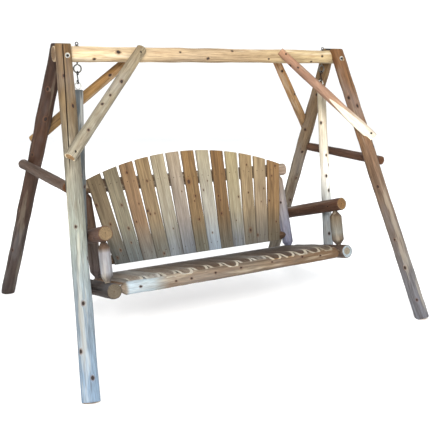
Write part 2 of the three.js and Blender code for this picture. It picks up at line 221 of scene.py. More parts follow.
# ---------------------------------------------------------------- shaders
class Shader:
    """Short notation for building one material's nodes."""

    def __init__(self, name):
        self.material = bpy.data.materials.new(name)
        self.material.use_nodes = True
        self.nodes, self.links = self.material.node_tree.nodes, self.material.node_tree.links
        self.nodes.clear()

    def node(self, kind, inputs=(), out=0, **settings):
        n = self.nodes.new("ShaderNode" + kind)
        for key, value in settings.items():
            setattr(n, key, value)
        for key, value in dict(inputs).items():
            if isinstance(value, bpy.types.NodeSocket):
                self.links.new(value, n.inputs[key])
            else:
                n.inputs[key].default_value = value
        return n.outputs[out] if len(n.outputs) else n

    def attribute(self, name, out="Vector"):
        return self.node("Attribute", attribute_name=name, out=out)

    def math(self, operation, a, b=0.0, clamp=False):
        return self.node("Math", {0: a, 1: b}, operation=operation, use_clamp=clamp)

    def times(self, a, b):
        return self.math("MULTIPLY", a, b)

    def plus(self, a, b):
        return self.math("ADD", a, b)

    def minus(self, a, b):
        return self.math("SUBTRACT", a, b)

    def vector(self, operation, a, b=(0, 0, 0), out=0):
        return self.node("VectorMath", {0: a, 1: b}, operation=operation, out=out)

    def scaled(self, v, factor):
        return self.node("VectorMath", {0: v, "Scale": factor}, operation="SCALE")

    def stretch(self, v, scale, offset=(0, 0, 0)):
        return self.node("Mapping", {"Vector": v, "Scale": scale, "Location": offset})

    def noise(self, v, scale, detail=3.0, roughness=0.55, out=0):
        return self.node("TexNoise", {"Vector": v, "Scale": scale, "Detail": detail,
                                      "Roughness": roughness}, out=out)

    def step(self, value, low, high, a=0.0, b=1.0):
        inputs = {"Value": value, "From Min": low, "From Max": high, "To Min": a, "To Max": b}
        return self.node("MapRange", inputs, interpolation_type="SMOOTHSTEP")

    def ramp(self, value, stops):
        n = self.nodes.new("ShaderNodeValToRGB")
        self.links.new(value, n.inputs[0])
        elements = n.color_ramp.elements
        while len(elements) < len(stops):
            elements.new(0.5)
        for element, (at, colour) in zip(elements, stops):
            element.position, element.color = at, (*colour, 1.0)
        return n.outputs[0]

    def mix(self, factor, a, b, blend="MIX"):
        inputs = {"Factor": factor, "A": a, "B": b}
        n = self.nodes.new("ShaderNodeMix")
        n.data_type, n.blend_type, n.clamp_factor = "RGBA", blend, True
        for key, value in inputs.items():
            socket = n.inputs[0] if key == "Factor" else n.inputs[6 if key == "A" else 7]
            if isinstance(value, bpy.types.NodeSocket):
                self.links.new(value, socket)
            else:
                socket.default_value = value if key == "Factor" else (*value[:3], 1.0)
        return n.outputs[2]

    def bump(self, height, distance):
        return self.node("Bump", {"Height": height, "Distance": distance, "Strength": 1.0})

    def finish(self, **inputs):
        names = {"colour": "Base Color", "roughness": "Roughness", "metallic": "Metallic",
                 "normal": "Normal", "specular": "Specular IOR Level"}
        surface = self.node("BsdfPrincipled", {names[k]: v for k, v in inputs.items()})
        self.node("OutputMaterial", {"Surface": surface})
        return self.material


def knot_field(s, local, knots):
    """1 at the heart of a knot, falling to 0 at 2.4 times its radius; drawn out along the grain."""
    field = None
    for x, y, z, turn, size in knots:
        inputs = {
            "Vector": local,
            "Location": (x * MM, y * MM, z * MM),
            "Rotation": (0, 0, turn),
            "Scale": (size * 5.0 * MM, size * 3.0 * MM, size * 4.2 * MM),
        }
        near = s.node("Mapping", inputs, vector_type="TEXTURE")
        one = s.node("TexGradient", {"Vector": near}, gradient_type="SPHERICAL", out=1)
        field = one if field is None else s.math("MAXIMUM", field, one)
    return field


def cedar(name, knots, bark=0.5, pale=0.4, grey=0.3, grain=1.0, checks=0.6, pale_colour=(226, 214, 188)):
    """Peeled round cedar: fibres, scraps of inner bark, pale scraped streaks, knots and drying checks."""
    s = Shader(name)
    rng = rng_of(name)
    local, tint = s.attribute("local"), s.attribute("tint", "Color")
    at = s.vector("ADD", local, tuple(rng.uniform(-5, 5, 3)))
    field = knot_field(s, local, knots)
    warped = at
    if field is not None:
        wobble = s.noise(at, 40, 2)
        field = s.plus(field, s.times(s.minus(wobble, 0.5), s.times(field, 0.7)))
        push = s.node("CombineXYZ", {0: field, 1: field, 2: 0.0})
        warped = s.vector("ADD", at, s.scaled(push, 0.016))
    along = s.stretch(warped, (1, 1, 0.055))
    streak = s.noise(along, 36, 4, 0.6)
    fibre = s.noise(along, 210, 4, 0.65)
    patch = s.noise(s.stretch(warped, (1, 1, 0.2)), 13, 5, 0.62)
    scrape = s.noise(s.stretch(warped, (1, 1, 0.1), (3, 1, 7)), 17, 4, 0.6)
    wash = s.noise(s.stretch(at, (1, 1, 0.45), (9, 2, 4)), 5, 3, 0.5)
    g = grain
    tone = s.ramp(streak, [(0.3, (1 - 0.46 * g, 1 - 0.51 * g, 1 - 0.56 * g)), (0.5, (1, 1, 1)),
                           (0.7, (1 + 0.24 * g, 1 + 0.22 * g, 1 + 0.17 * g))])
    colour = s.mix(1.0, tint, tone, "MULTIPLY")
    fine = s.ramp(fibre, [(0.34, (0.56, 0.52, 0.48)), (0.62, (1.16, 1.16, 1.14))])
    colour = s.mix(0.85 * min(1, g), colour, fine, "MULTIPLY")
    brown = s.mix(1.0, tint, (0.56, 0.40, 0.28), "MULTIPLY")
    mask = s.step(s.plus(s.times(patch, 0.72), s.times(streak, 0.28)), 0.52, 0.62)
    colour = s.mix(s.times(mask, bark), colour, brown)
    light = s.mix(0.62, tint, linear(*pale_colour))
    colour = s.mix(s.times(s.step(scrape, 0.55, 0.66), pale), colour, light)
    cool = s.mix(0.5, tint, linear(170, 178, 186))
    colour = s.mix(s.times(s.step(wash, 0.48, 0.7), grey), colour, cool)
    height = s.plus(s.times(fibre, 0.45), s.times(streak, 0.8))
    height = s.minus(height, s.times(mask, -0.25))
    line = s.math("ABSOLUTE", s.minus(s.noise(s.stretch(warped, (1, 1, 0.03), (5, 8, 1)), 44, 2, 0.5), 0.5))
    where = s.step(s.noise(s.stretch(at, (1, 1, 0.3), (2, 6, 3)), 9, 2), 0.5, 0.6)
    check = s.times(s.step(line, 0.0, 0.016, 1.0, 0.0), s.times(where, checks))
    colour = s.mix(check, colour, linear(58, 42, 30))
    height = s.minus(height, s.times(check, 1.4))
    if field is not None:
        colour = s.mix(s.times(s.step(field, 0.12, 0.6), 0.6), colour, linear(112, 74, 50))
        ring = s.math("SINE", s.times(field, 46))
        colour = s.mix(s.times(s.times(s.step(field, 0.3, 0.6), s.step(ring, 0.0, 1.0)), 0.45),
                       colour, linear(70, 44, 28))
        core = s.step(field, 0.5, 0.66)
        colour = s.mix(s.times(core, 0.95), colour, linear(32, 23, 18))
        height = s.minus(height, s.times(core, 0.8))
    # Painted shade: the deeper a point lies in a modelled crack, the darker it is painted.
    crack = s.attribute("crack", "Fac")
    colour = s.mix(s.step(crack, 0.25, 0.8), colour, linear(30, 20, 14))
    rough = s.step(streak, 0.3, 0.7, 0.86, 0.68)
    return s.finish(colour=colour, roughness=rough, normal=s.bump(height, 0.0011), specular=0.3)


def end_grain(name, radius, heart, sap, share=0.74, rings=2.6):
    """A sawn log end: growth rings round a darker heart, a pale sapwood rim, radial checks and saw marks."""
    s = Shader(name)
    rng = rng_of(name)
    local = s.attribute("local")
    flat = s.vector("MULTIPLY", local, (1, 1, 0))
    off = tuple(rng.uniform(-0.004, 0.004, 2)) + (0.0,)
    flat = s.vector("ADD", flat, off)
    cloud = s.noise(flat, 28, 2, 0.5)
    reach = s.plus(s.vector("LENGTH", flat, out=1), s.times(s.minus(cloud, 0.5), 0.006))
    ring = s.math("SINE", s.times(reach, 2 * math.pi / (rings * MM)))
    share_of = s.math("DIVIDE", reach, radius * MM)
    spread = s.noise(flat, 60, 3, 0.6)
    edge = s.plus(share_of, s.times(s.minus(spread, 0.5), 0.08))
    colour = s.mix(s.step(edge, share, share + 0.07), linear(*heart), linear(*sap))
    pith = s.step(share_of, 0.05, 0.12, 1.0, 0.0)
    colour = s.mix(s.times(pith, 0.7), colour, linear(70, 42, 26))
    dark = s.ramp(s.step(ring, -0.6, 0.9), [(0.0, (1.08, 1.07, 1.06)), (1.0, (0.66, 0.58, 0.5))])
    colour = s.mix(0.75, colour, dark, "MULTIPLY")
    stain = s.ramp(s.noise(flat, 45, 4, 0.65), [(0.35, (0.7, 0.68, 0.66)), (0.65, (1.12, 1.1, 1.08))])
    colour = s.mix(0.8, colour, stain, "MULTIPLY")
    way = s.vector("NORMALIZE", flat)
    ray = s.math("ABSOLUTE", s.minus(s.noise(way, 5.5, 2, 0.5), 0.5))
    check = s.times(s.step(ray, 0.0, 0.014, 1.0, 0.0), s.step(share_of, 0.15, 0.5))
    colour = s.mix(check, colour, linear(40, 28, 20))
    # Painted shade: the deeper a point lies in a modelled crack, the darker it is painted.
    crack = s.attribute("crack", "Fac")
    colour = s.mix(s.step(crack, 0.25, 0.8), colour, linear(30, 20, 14))
    saw = s.noise(s.stretch(flat, (1, 0.05, 1)), 420, 2, 0.5)
    height = s.plus(s.times(ring, -0.15), s.times(saw, 0.5))
    height = s.minus(height, check)
    rough = s.step(stain, 0.3, 0.8, 0.9, 0.75)
    return s.finish(colour=colour, roughness=rough, normal=s.bump(height, 0.0008), specular=0.25)


def plank(name, knots, pith, contrast=0.8, sap_side=0, sap_width=0, sap_colour=(214, 214, 208), ring=7.0):
    """Flat-sawn board: the rings of the log it came from, cut lengthwise, with knots and a darker, greyer
    foot.
    """
    s = Shader(name)
    rng = rng_of(name)
    local, tint = s.attribute("local"), s.attribute("tint", "Color")
    seed = tuple(rng.uniform(-5, 5, 3))
    at = s.vector("ADD", local, seed)
    field = knot_field(s, local, knots)
    bend = s.scaled(s.vector("SUBTRACT", s.noise(s.stretch(at, (1, 1, 0.16)), 7, 2, 0.5, out=1),
                             (0.5, 0.5, 0.5)), 0.05)
    flat = s.vector("MULTIPLY", s.vector("ADD", local, bend), (1, 1, 0))
    reach = s.vector("LENGTH", s.vector("SUBTRACT", flat, (pith[0] * MM, pith[1] * MM, 0)), out=1)
    if field is not None:
        reach = s.plus(reach, s.times(field, 0.016))
    reach = s.plus(reach, s.times(s.noise(s.stretch(at, (1, 1, 0.1)), 60, 3), 0.0022))
    turn = s.math("SINE", s.times(reach, 2 * math.pi / (ring * MM)))
    late = s.step(turn, -0.5, 1.0)
    fibre = s.noise(s.stretch(at, (1, 1, 0.03)), 260, 4, 0.65)
    streak = s.noise(s.stretch(at, (1, 1, 0.05)), 34, 4, 0.6)
    c = contrast
    tone = s.ramp(late, [(0.0, (1 + 0.08 * c, 1 + 0.08 * c, 1 + 0.07 * c)),
                         (1.0, (1 - 0.2 * c, 1 - 0.25 * c, 1 - 0.31 * c))])
    colour = s.mix(1.0, tint, tone, "MULTIPLY")
    drift = s.ramp(streak, [(0.3, (0.6, 0.55, 0.5)), (0.5, (1, 1, 1)), (0.7, (1.26, 1.25, 1.22))])
    colour = s.mix(0.9, colour, drift, "MULTIPLY")
    fine = s.ramp(fibre, [(0.35, (0.6, 0.57, 0.54)), (0.62, (1.16, 1.16, 1.14))])
    colour = s.mix(0.8, colour, fine, "MULTIPLY")
    if sap_side:
        x = s.node("SeparateXYZ", {0: local})
        edge = s.times(x, float(sap_side))
        edge = s.plus(edge, s.times(s.minus(streak, 0.5), 0.02))
        limit = (BOARD["width"] / 2 - sap_width) * MM
        colour = s.mix(s.times(s.step(edge, limit, limit + 0.014), 0.5), colour, linear(*sap_colour))
    if field is not None:
        colour = s.mix(s.times(s.step(field, 0.1, 0.5), 0.45), colour, linear(118, 76, 44))
        core = s.step(field, 0.58, 0.72)
        colour = s.mix(s.times(core, 0.88), colour, linear(52, 34, 24))
    # Painted shade: the board's sides are darkened, for the shade in the gaps between neighbouring boards.
    gap_shade = s.attribute("edge", "Fac")
    colour = s.mix(s.times(gap_shade, 0.35), colour, linear(96, 78, 62))
    height = s.plus(s.times(late, 0.35), s.times(fibre, 0.5))
    rough = s.step(late, 0.0, 1.0, 0.82, 0.66)
    return s.finish(colour=colour, roughness=rough, normal=s.bump(height, 0.0007), specular=0.3)


def half_log(name, radius, knots, heart, sap, sap_depth=9.0, grey=0.3, fade=0.1):
    """A log sawn in half: the pith lies just above the flat, so sapwood shows round the edges and nose."""
    s = Shader(name)
    rng = rng_of(name)
    local = s.attribute("local")
    at = s.vector("ADD", local, tuple(rng.uniform(-5, 5, 3)))
    field = knot_field(s, local, knots)
    bend = s.scaled(s.vector("SUBTRACT", s.noise(s.stretch(at, (1, 1, 0.2)), 9, 2, 0.5, out=1),
                             (0.5, 0.5, 0.5)), 0.014)
    flat = s.vector("MULTIPLY", s.vector("ADD", local, bend), (1, 1, 0))
    reach = s.vector("LENGTH", flat, out=1)
    if field is not None:
        reach = s.plus(reach, s.times(field, 0.008))
    ring = s.math("SINE", s.times(reach, 2 * math.pi / (4.2 * MM)))
    late = s.step(ring, -0.4, 1.0)
    streak = s.noise(s.stretch(at, (1, 1, 0.06)), 40, 4, 0.6)
    fibre = s.noise(s.stretch(at, (1, 1, 0.04)), 240, 4, 0.65)
    wash = s.noise(s.stretch(at, (1, 1, 0.4), (4, 1, 2)), 8, 3, 0.5)
    length = s.node("SeparateXYZ", {0: local}, out=2)
    colour = s.mix(s.times(s.step(wash, 0.45, 0.68), grey), linear(*heart), linear(158, 158, 156))
    white = s.step(reach, (radius - sap_depth - 2.5) * MM, (radius - sap_depth + 1.0) * MM)
    # Painted shade: the pale sapwood rims fade out behind the nose, for the shade in the gaps between the
    # slats.
    gap_shade = s.step(length, 0.035, 0.10, 1.0, fade)
    # Painted shade: the top darkens from just behind the nose towards the back of the seat, for the shade
    # along its rear edge.
    far = s.step(length, 0.08, 0.5, 1.0, 0.62)
    colour = s.mix(s.times(white, gap_shade), colour, linear(*sap))
    tone = s.ramp(late, [(0.0, (1.08, 1.07, 1.06)), (1.0, (0.74, 0.68, 0.62))])
    colour = s.mix(s.minus(0.9, s.times(white, 0.6)), colour, tone, "MULTIPLY")
    drift = s.ramp(streak, [(0.3, (0.58, 0.53, 0.48)), (0.5, (1, 1, 1)), (0.7, (1.3, 1.27, 1.22))])
    colour = s.mix(0.9, colour, drift, "MULTIPLY")
    fine = s.ramp(fibre, [(0.35, (0.78, 0.76, 0.74)), (0.62, (1.08, 1.08, 1.07))])
    colour = s.mix(0.8, colour, fine, "MULTIPLY")
    if field is not None:
        core = s.step(field, 0.5, 0.72)
        colour = s.mix(s.times(core, 0.85), colour, linear(46, 30, 22))
    colour = s.mix(1.0, colour, far, "MULTIPLY")
    height = s.plus(s.times(late, 0.3), s.times(fibre, 0.55))
    rough = s.step(streak, 0.3, 0.7, 0.84, 0.68)
    return s.finish(colour=colour, roughness=rough, normal=s.bump(height, 0.0009), specular=0.3)


def steel(name, base, rust=0.2, rough=(0.3, 0.5), spangle=0.5):
    """Weathered steel: mottled zinc or black finish, small scratches and spots of rust."""
    s = Shader(name)
    at = s.node("TexCoord", out=3)
    cells = s.node("TexVoronoi", {"Vector": at, "Scale": 260.0}, out=1)
    spread = s.node("SeparateColor", {0: cells})
    cloud = s.noise(at, 90, 4, 0.6)
    tone = s.ramp(spread, [(0.0, (1 - 0.35 * spangle,) * 3), (1.0, (1 + 0.2 * spangle,) * 3)])
    colour = s.mix(1.0, linear(*base), tone, "MULTIPLY")
    spots = s.step(cloud, 0.56, 0.68)
    colour = s.mix(s.times(spots, rust), colour, linear(104, 58, 34))
    scratch = s.noise(s.stretch(at, (1, 1, 8)), 300, 2, 0.5)
    return s.finish(colour=colour, roughness=s.step(cloud, 0.3, 0.7, rough[0], rough[1]), metallic=0.9,
                    normal=s.bump(scratch, 0.0002))


# ---------------------------------------------------------------- round wood
class Axis:
    """A log's own frame: z runs from a to b, x points to the front as far as it can, y completes it."""

    def __init__(self, a, b):
        self.a, self.b = np.asarray(a, float), np.asarray(b, float)
        self.length = float(np.linalg.norm(self.b - self.a))
        self.w = (self.b - self.a) / self.length
        front = vec(0, -1, 0) if abs(self.w[1]) < 0.999 else vec(1, 0, 0)
        self.x = unit(front - self.w * self.w.dot(front))
        self.y = np.cross(self.w, self.x)

    def out(self, p):
        return self.a + p[:, :1] * self.x + p[:, 1:2] * self.y + p[:, 2:3] * self.w

    def back(self, q):
        d = q - self.a
        return np.stack([d @ self.x, d @ self.y, d @ self.w], 1)


class Groove:
    """A drying crack that runs along a log and wanders a little with the grain."""

    def __init__(self, degrees, z0, z1, width=3.0, depth=7.0):
        self.turn, self.z0, self.z1 = math.radians(degrees), min(z0, z1), max(z0, z1)
        self.width, self.depth = width, depth

    def at(self, th, z, radius, shift):
        off = (th - shift - self.turn + math.pi) % (2 * math.pi) - math.pi
        reach = np.exp(-((off * radius / self.width) ** 2))
        taper = 0.14 * (self.z1 - self.z0) + 6
        return reach * smooth(z, self.z0 - 1, self.z0 + taper) * smooth(-z, -self.z1 - 1, -self.z1 + taper)

    def angles(self, radius):
        spread = np.array([-2.6, -1.7, -1.1, -0.6, -0.25, 0, 0.25, 0.6, 1.1, 1.7, 2.6])
        return self.turn + spread * self.width / radius


def end_rounding(d, ease):
    """How far the surface falls in at distance d from a log's end."""
    return np.where(d < ease, ease * (1 - np.sqrt(np.clip(1 - (1 - d / ease) ** 2, 0, 1))), 0)


def round_log(name, a, b, profile, relief=1.0, bow=1.0, spacing=9.0, sides=72, ease=4.0, knots=(),
              cracks=(), flats=(), bands=(), twist=0.0, fine_ends=0.0):
    """Mesh of a peeled log. profile holds (distance along, radius) pairs; knots hold (distance along, degrees,
    radius). Returns the mesh and what its paint and shader need to know."""
    axis = Axis(a, b)
    length = axis.length
    rng = rng_of(name)
    pz, pr = np.array([p[0] for p in profile], float), np.array([p[1] for p in profile], float)
    radius_at = lambda z: np.interp(z, pz, pr)
    lumps = waves(rng, 6, (2, 4), 520, 2.1 * relief)
    peeled = waves(rng, 9, (5, 11), 240, 0.9 * relief)
    fine = waves(rng, 12, (12, 22), 80, 0.2 * relief)
    drift = waves(rng, 3, (1, 1), 900, 0.03)
    sway = lambda th, h: drift(th, h) + twist * (length - h) * MM
    edge = np.array([0, 0.12, 0.35, 0.68, 1.0]) * ease
    close = np.arange(0, fine_ends, 2.5)
    z = np.concatenate([edge, length - edge, pz, close, length - close,
                        np.arange(ease, length - ease, spacing)])
    z = np.unique(np.round(z, 2))
    z = z[np.concatenate([[True], np.diff(z) > 0.25])]
    middle = float(np.median(pr))
    th = np.linspace(-math.pi, math.pi, sides, endpoint=False)
    for c in cracks:
        dense = (c.angles(middle) + math.pi) % (2 * math.pi) - math.pi
        gap = 0.6 * c.width / middle
        th = th[np.min(np.abs(th[:, None] - dense[None]), 1) > gap]
        th = np.concatenate([th, dense])
    th = np.sort(th)
    zz, tt = z[:, None], th[None, :]
    shift = sway(0.0, zz)
    turn = tt + shift
    base = radius_at(zz)
    calm = np.clip((base - 16) / 14, 0.12, 1)
    r = base + calm * (lumps(turn, zz) + peeled(turn, zz) + fine(turn, zz))
    placed = []
    for kz, degrees, size in knots:
        at = math.radians(degrees)
        off = (turn - at + math.pi) % (2 * math.pi) - math.pi
        d2 = (off * base) ** 2 + (0.8 * (zz - kz)) ** 2
        r = r + 0.16 * size * np.exp(-d2 / (2.2 * size) ** 2) - 0.10 * size * np.exp(-d2 / (0.7 * size) ** 2)
        rk = float(radius_at(kz))
        placed.append((rk * math.cos(at), rk * math.sin(at), kz, at, size))
    for degrees, z0, z1, share in flats:
        off = (turn - math.radians(degrees) + math.pi) % (2 * math.pi) - math.pi
        d = base * (1.03 - (1.03 - share) * smooth(-zz, -z1, -z0))
        limit = np.where(np.abs(off) < 1.45, d / np.cos(np.clip(off, -1.45, 1.45)), 1e9)
        r = np.minimum(r, limit)
    for z0, z1, depth in bands:
        r = r - depth * smooth(zz, z0 - 0.6, z0 + 0.6) * smooth(-zz, -z1 - 0.6, -z1 + 0.6)
    for c in cracks:
        r = r - c.depth * c.at(turn, zz, base, shift)
    r = r - end_rounding(zz, ease) - end_rounding(length - zz, ease)
    p = bow * length / 900
    phase = rng.uniform(0, 2 * math.pi)
    lean = p * np.sin(math.pi * zz / length) * (1 + 0.4 * np.sin(2 * math.pi * zz / length + phase))
    x = r * np.cos(turn) + lean * math.cos(phase)
    y = r * np.sin(turn) + lean * math.sin(phase)
    nz, nt = len(z), len(th)
    grid = np.stack([x, y, np.broadcast_to(zz, x.shape)], 2).reshape(-1, 3)
    i, j = np.meshgrid(np.arange(nz - 1), np.arange(nt), indexing="ij")
    k = (j + 1) % nt
    faces = np.stack([i * nt + j, i * nt + k, (i + 1) * nt + k, (i + 1) * nt + j], 2)
    faces = faces.reshape(-1, 4).tolist()
    slots = [0] * len(faces)
    vertices, count = [grid], nz * nt
    shares = [0.9, 0.78, 0.64, 0.5, 0.36, 0.22, 0.1]
    for last, sign in ((0, 1), (nz - 1, -1)):
        rim = grid[last * nt:(last + 1) * nt]
        centre = rim.mean(0)
        before = last * nt
        saw = waves(rng, 8, (1, 9), 30, 0.5)
        for share in shares:
            ring = centre + (rim - centre) * share
            dip = np.zeros(nt)
            for c in cracks:
                near = np.linalg.norm(ring[:, :2] - centre[:2], axis=1) + 4
                here = c.z0 < z[last] + 30 and c.z1 > z[last] - 30
                dip += here * c.depth * share * np.exp(-(((th - c.turn + math.pi) % (2 * math.pi) - math.pi)
                                                         * near / (c.width * share + 0.3)) ** 2)
            ring[:, 2] += sign * (dip + 0.35 * relief * saw(th, share * 40))
            vertices.append(ring)
            for m in range(nt):
                n = (m + 1) % nt
                quad = (before + m, count + m, count + n, before + n)
                faces.append(quad if sign > 0 else quad[::-1])
            before, count = count, count + nt
        vertices.append(centre[None])
        for m in range(nt):
            n = (m + 1) % nt
            faces.append((before + m, count, before + n) if sign > 0 else (before + n, count, before + m))
        count += 1
        slots += [1] * (nt * (len(shares) + 1))
    log = SimpleNamespace(axis=axis, knots=placed, sway=sway, cracks=cracks, flats=flats, radius=middle)
    return Mesh().add(axis.out(np.concatenate(vertices)), faces, slots), log


def rod_cutter(a, b, r, sides=48, profile=None):
    """A round tool for cutting bores, recesses and notches; profile may give it (distance, radius) steps."""
    axis = Axis(a, b)
    steps = profile or [(0, r), (axis.length, r)]
    th = circle(sides)
    rings = [np.stack([q * np.cos(th), q * np.sin(th), np.full(sides, float(d))], 1) for d, q in steps]
    faces = quads(len(steps), sides) + caps(len(steps), sides)
    return Mesh().add(axis.out(np.concatenate(rings)), faces, 1).make("tool", [])


def space_cutter(point, outward, size=3000):
    """Everything beyond a plane, as a tool."""
    axis = Axis(point, np.asarray(point, float) + unit(np.asarray(outward, float)))
    corners = [(x * size, y * size, z * size) for z in (0, 1) for x, y in ((-1, -1), (1, -1), (1, 1), (-1, 1))]
    faces = [(3, 2, 1, 0), (4, 5, 6, 7), (0, 1, 5, 4), (1, 2, 6, 5), (2, 3, 7, 6), (3, 0, 4, 7)]
    return Mesh().add(axis.out(np.array(corners, float)), faces, 1).make("tool", [])


def colour_along(t, stops):
    """Display colours placed along a piece, blended smoothly between their places."""
    places = np.array([s[0] for s in stops], float)
    colours = np.array([s[1] for s in stops], float)
    mixed = np.stack([np.interp(t, places, colours[:, c]) for c in range(3)], 1) / 255
    return surface(mixed)


def set_vectors(mesh, name, values):
    mesh.attributes.new(name, "FLOAT_VECTOR", "POINT").data.foreach_set(
        "vector", values.astype(np.float32).ravel())


def set_numbers(mesh, name, values):
    mesh.attributes.new(name, "FLOAT", "POINT").data.foreach_set("value", values.astype(np.float32).ravel())


SCRAPED = (226, 218, 200)


def paint(obj, log, stops):
    """Writes what the wood shaders read: place in the log, base colour, and how deep in a crack."""
    mesh = obj.data
    local = log.axis.back(positions(mesh) / MM)
    set_vectors(mesh, "local", local * MM)
    th, z = np.arctan2(local[:, 1], local[:, 0]), local[:, 2]
    tint = colour_along(z / log.axis.length, stops)
    radius = np.hypot(local[:, 0], local[:, 1])
    for degrees, z0, z1, share in log.flats:
        off = (th - math.radians(degrees) + math.pi) % (2 * math.pi) - math.pi
        reach = 1.03 - (1.03 - share) * smooth(-z, -z1, -z0)
        half = np.arccos(np.clip(reach, 0, 1))
        on = smooth(-np.abs(off), -half - 0.05, -half + 0.06) * (half > 0)
        tint = tint + (linear(*SCRAPED) - tint) * on[:, None]
    set_vectors(mesh, "tint", tint)
    # How deep each point lies in a crack; the wood shaders paint shade from it.
    deep = np.zeros(len(local))
    for c in log.cracks:
        outer = smooth(radius / log.radius, 0.25, 0.6)
        deep = np.maximum(deep, outer * c.at(th, z, radius, log.sway(0.0, z)))
    set_numbers(mesh, "crack", deep)


def settle(obj, body, slot, *nodes, angle=38):
    """Smooth shading with crisp edges, then the piece's body and CAD nodes; slot is not used."""
    obj.data.shade_smooth()
    obj.data.set_sharp_from_angle(angle=math.radians(angle))
    obj.data.validate()
    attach(obj, body)
    if nodes:
        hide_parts(*nodes)
    return obj


def wooden(name, body, slot, node, a, b, profile, stops, side_look, ends, cutters=(), soften=None,
           **shape):
    """One round wooden piece from its axis to its finish."""
    mesh, log = round_log(name, a, b, profile, **shape)
    materials = [cedar(name + "_bark_side", log.knots, **side_look),
                 end_grain(name + "_end", log.radius, **ends)]
    obj = mesh.make(name, materials)
    if cutters:
        cut(obj, list(cutters))
    if soften:
        soften(obj)
    paint(obj, log, stops)
    return settle(obj, body, slot, node)


def tapered(length, r_a, r_b):
    return [(0, r_a), (length, r_b)]


def tenoned(length, r, shoulder, tenon=26, taper=27):
    """A log with a cut shoulder and a round tenon at each end."""
    body = length / 2 - shoulder
    half = [(0, TENON_R), (tenon - 0.6, TENON_R), (tenon, TENON_R + 2), (body - taper * 0.15, r - 4),
            (body + 3, r)]
    return half + [(length - d, q) for d, q in reversed(half)]


def scatter(name, count, length):
    """Seeded knots for a log that has none of its own placed."""
    rng = rng_of(name + " knots")
    z = np.linspace(60, length - 60, count) + rng.uniform(-0.3, 0.3, count) * length / count
    return [(float(np.clip(h, 25, length - 25)), float(rng.uniform(60, 300)), float(rng.uniform(4, 8)))
            for h in z]


BODY_FRAME, BODY_BENCH = "frame", "bench"
SIDE = {-1: "left", 1: "right"}
END = {-1: "front", 1: "rear"}
CORNERS = [(-1, -1), (1, -1), (-1, 1), (1, 1)]
TAN_END = dict(heart=(176, 134, 92), sap=(214, 190, 152))
DARK_END = dict(heart=(46, 38, 32), sap=(70, 58, 48))

# ---------------------------------------------------------------- A-frame
LEG_TOP = {(sx, sy): vec(sx * LEG["top_x"], sy * LEG["top_y"], LEG["top_z"]) for sx, sy in CORNERS}
LEG_FOOT = {(sx, sy): vec(sx * LEG["foot_x"], sy * LEG["foot_y"], 0) for sx, sy in CORNERS}
PAST_FOOT = 60


def leg_ends(sx, sy):
    top, foot = LEG_TOP[sx, sy], LEG_FOOT[sx, sy]
    return foot + unit(foot - top) * PAST_FOOT, top


def leg_knots(places):
    """Knots given as (share of the leg from its foot, degrees, radius)."""
    run = float(np.linalg.norm(LEG_TOP[1, 1] - LEG_FOOT[1, 1]))
    return [(PAST_FOOT + t * run, degrees, size) for t, degrees, size in places]


def leg_tool(sx, sy):
    a, b = leg_ends(sx, sy)
    length = float(np.linalg.norm(b - a))
    return rod_cutter(a - unit(b - a) * 5, b + unit(b - a) * 40, 0,
                      profile=[(0, LEG["r_foot"] + NOTCH), (length + 45, LEG["r_top"] + NOTCH)])


def beam_tool():
    return rod_cutter(vec(-BEAM["half"] - 12, 0, BEAM["z"]), vec(BEAM["half"] + 12, 0, BEAM["z"]),
                      BEAM["r"] + NOTCH)


LEG_LOOK = {(-1, -1): dict(stops=[(0, (122, 150, 180)), (0.25, (129, 144, 157)), (0.47, (156, 163, 154)),
                                  (0.7, (123, 113, 96)), (0.88, (124, 99, 64)), (1, (125, 95, 55))],
                           side=dict(bark=0.45, pale=0.35, grey=0.25),
                           knots=[(0.891, -31, 6), (0.802, 19, 6.5), (0.458, -30, 5), (0.253, -21, 6),
                                  (0.372, 43, 5), (0.13, -61, 6.5), (0.06, 3, 6), (0.56, 150, 6),
                                  (0.33, 200, 6), (0.7, 215, 5), (0.6, 60, 5)],
                           cracks=[(-22, 0.6, 1.02, 2.4, 18), (-34, 0.035, 0.12, 1.5, 5),
                                   (150, 0.4, 0.8, 2.4, 8)], ends=TAN_END, twist=-0.42),
            (-1, 1): dict(stops=[(0, (60, 50, 48)), (0.35, (71, 53, 43)), (0.7, (83, 55, 36)),
                                 (1, (50, 30, 18))], side=dict(bark=0.55, pale=0.14, grey=0.22),
                          knots=[(0.858, -35, 7), (0.757, -4, 8), (0.389, -80, 6), (0.218, -55, 6),
                                 (0.62, -50, 6), (0.5, 120, 6), (0.3, 170, 7), (0.8, 200, 6)],
                          cracks=[(-60, 0.1, 0.5, 2.2, 8), (170, 0.5, 0.95, 2.6, 10)], ends=DARK_END),
            (1, -1): dict(stops=[(0, (122, 125, 136)), (0.18, (108, 106, 110)), (0.45, (125, 105, 89)),
                                 (0.7, (137, 102, 71)), (1, (122, 84, 48))],
                          side=dict(bark=0.5, pale=0.3, grey=0.35), knots=[(0.81, -63, 7), (0.773, -13, 7),
        (0.478, -58, 6), (0.183, -51, 6), (0.285, -59, 5), (0.067, -38, 5), (0.62, 30, 6), (0.4, 140, 6),
        (0.75, 190, 6)], cracks=[(120, 0.2, 0.6, 2.4, 9)], ends=TAN_END),
            (1, 1): dict(stops=[(0, (122, 114, 102)), (0.4, (122, 110, 95)), (0.7, (133, 111, 84)),
                                (1, (138, 108, 70))], side=dict(bark=0.5, pale=0.25, grey=0.3),
                         knots=[(0.661, -60, 7), (0.429, -16, 6), (0.311, -13, 7), (0.56, -30, 6),
                                (0.82, -45, 5), (0.2, 150, 6), (0.7, 190, 7)],
                         cracks=[(160, 0.3, 0.7, 2.6, 9)], ends=DARK_END)}


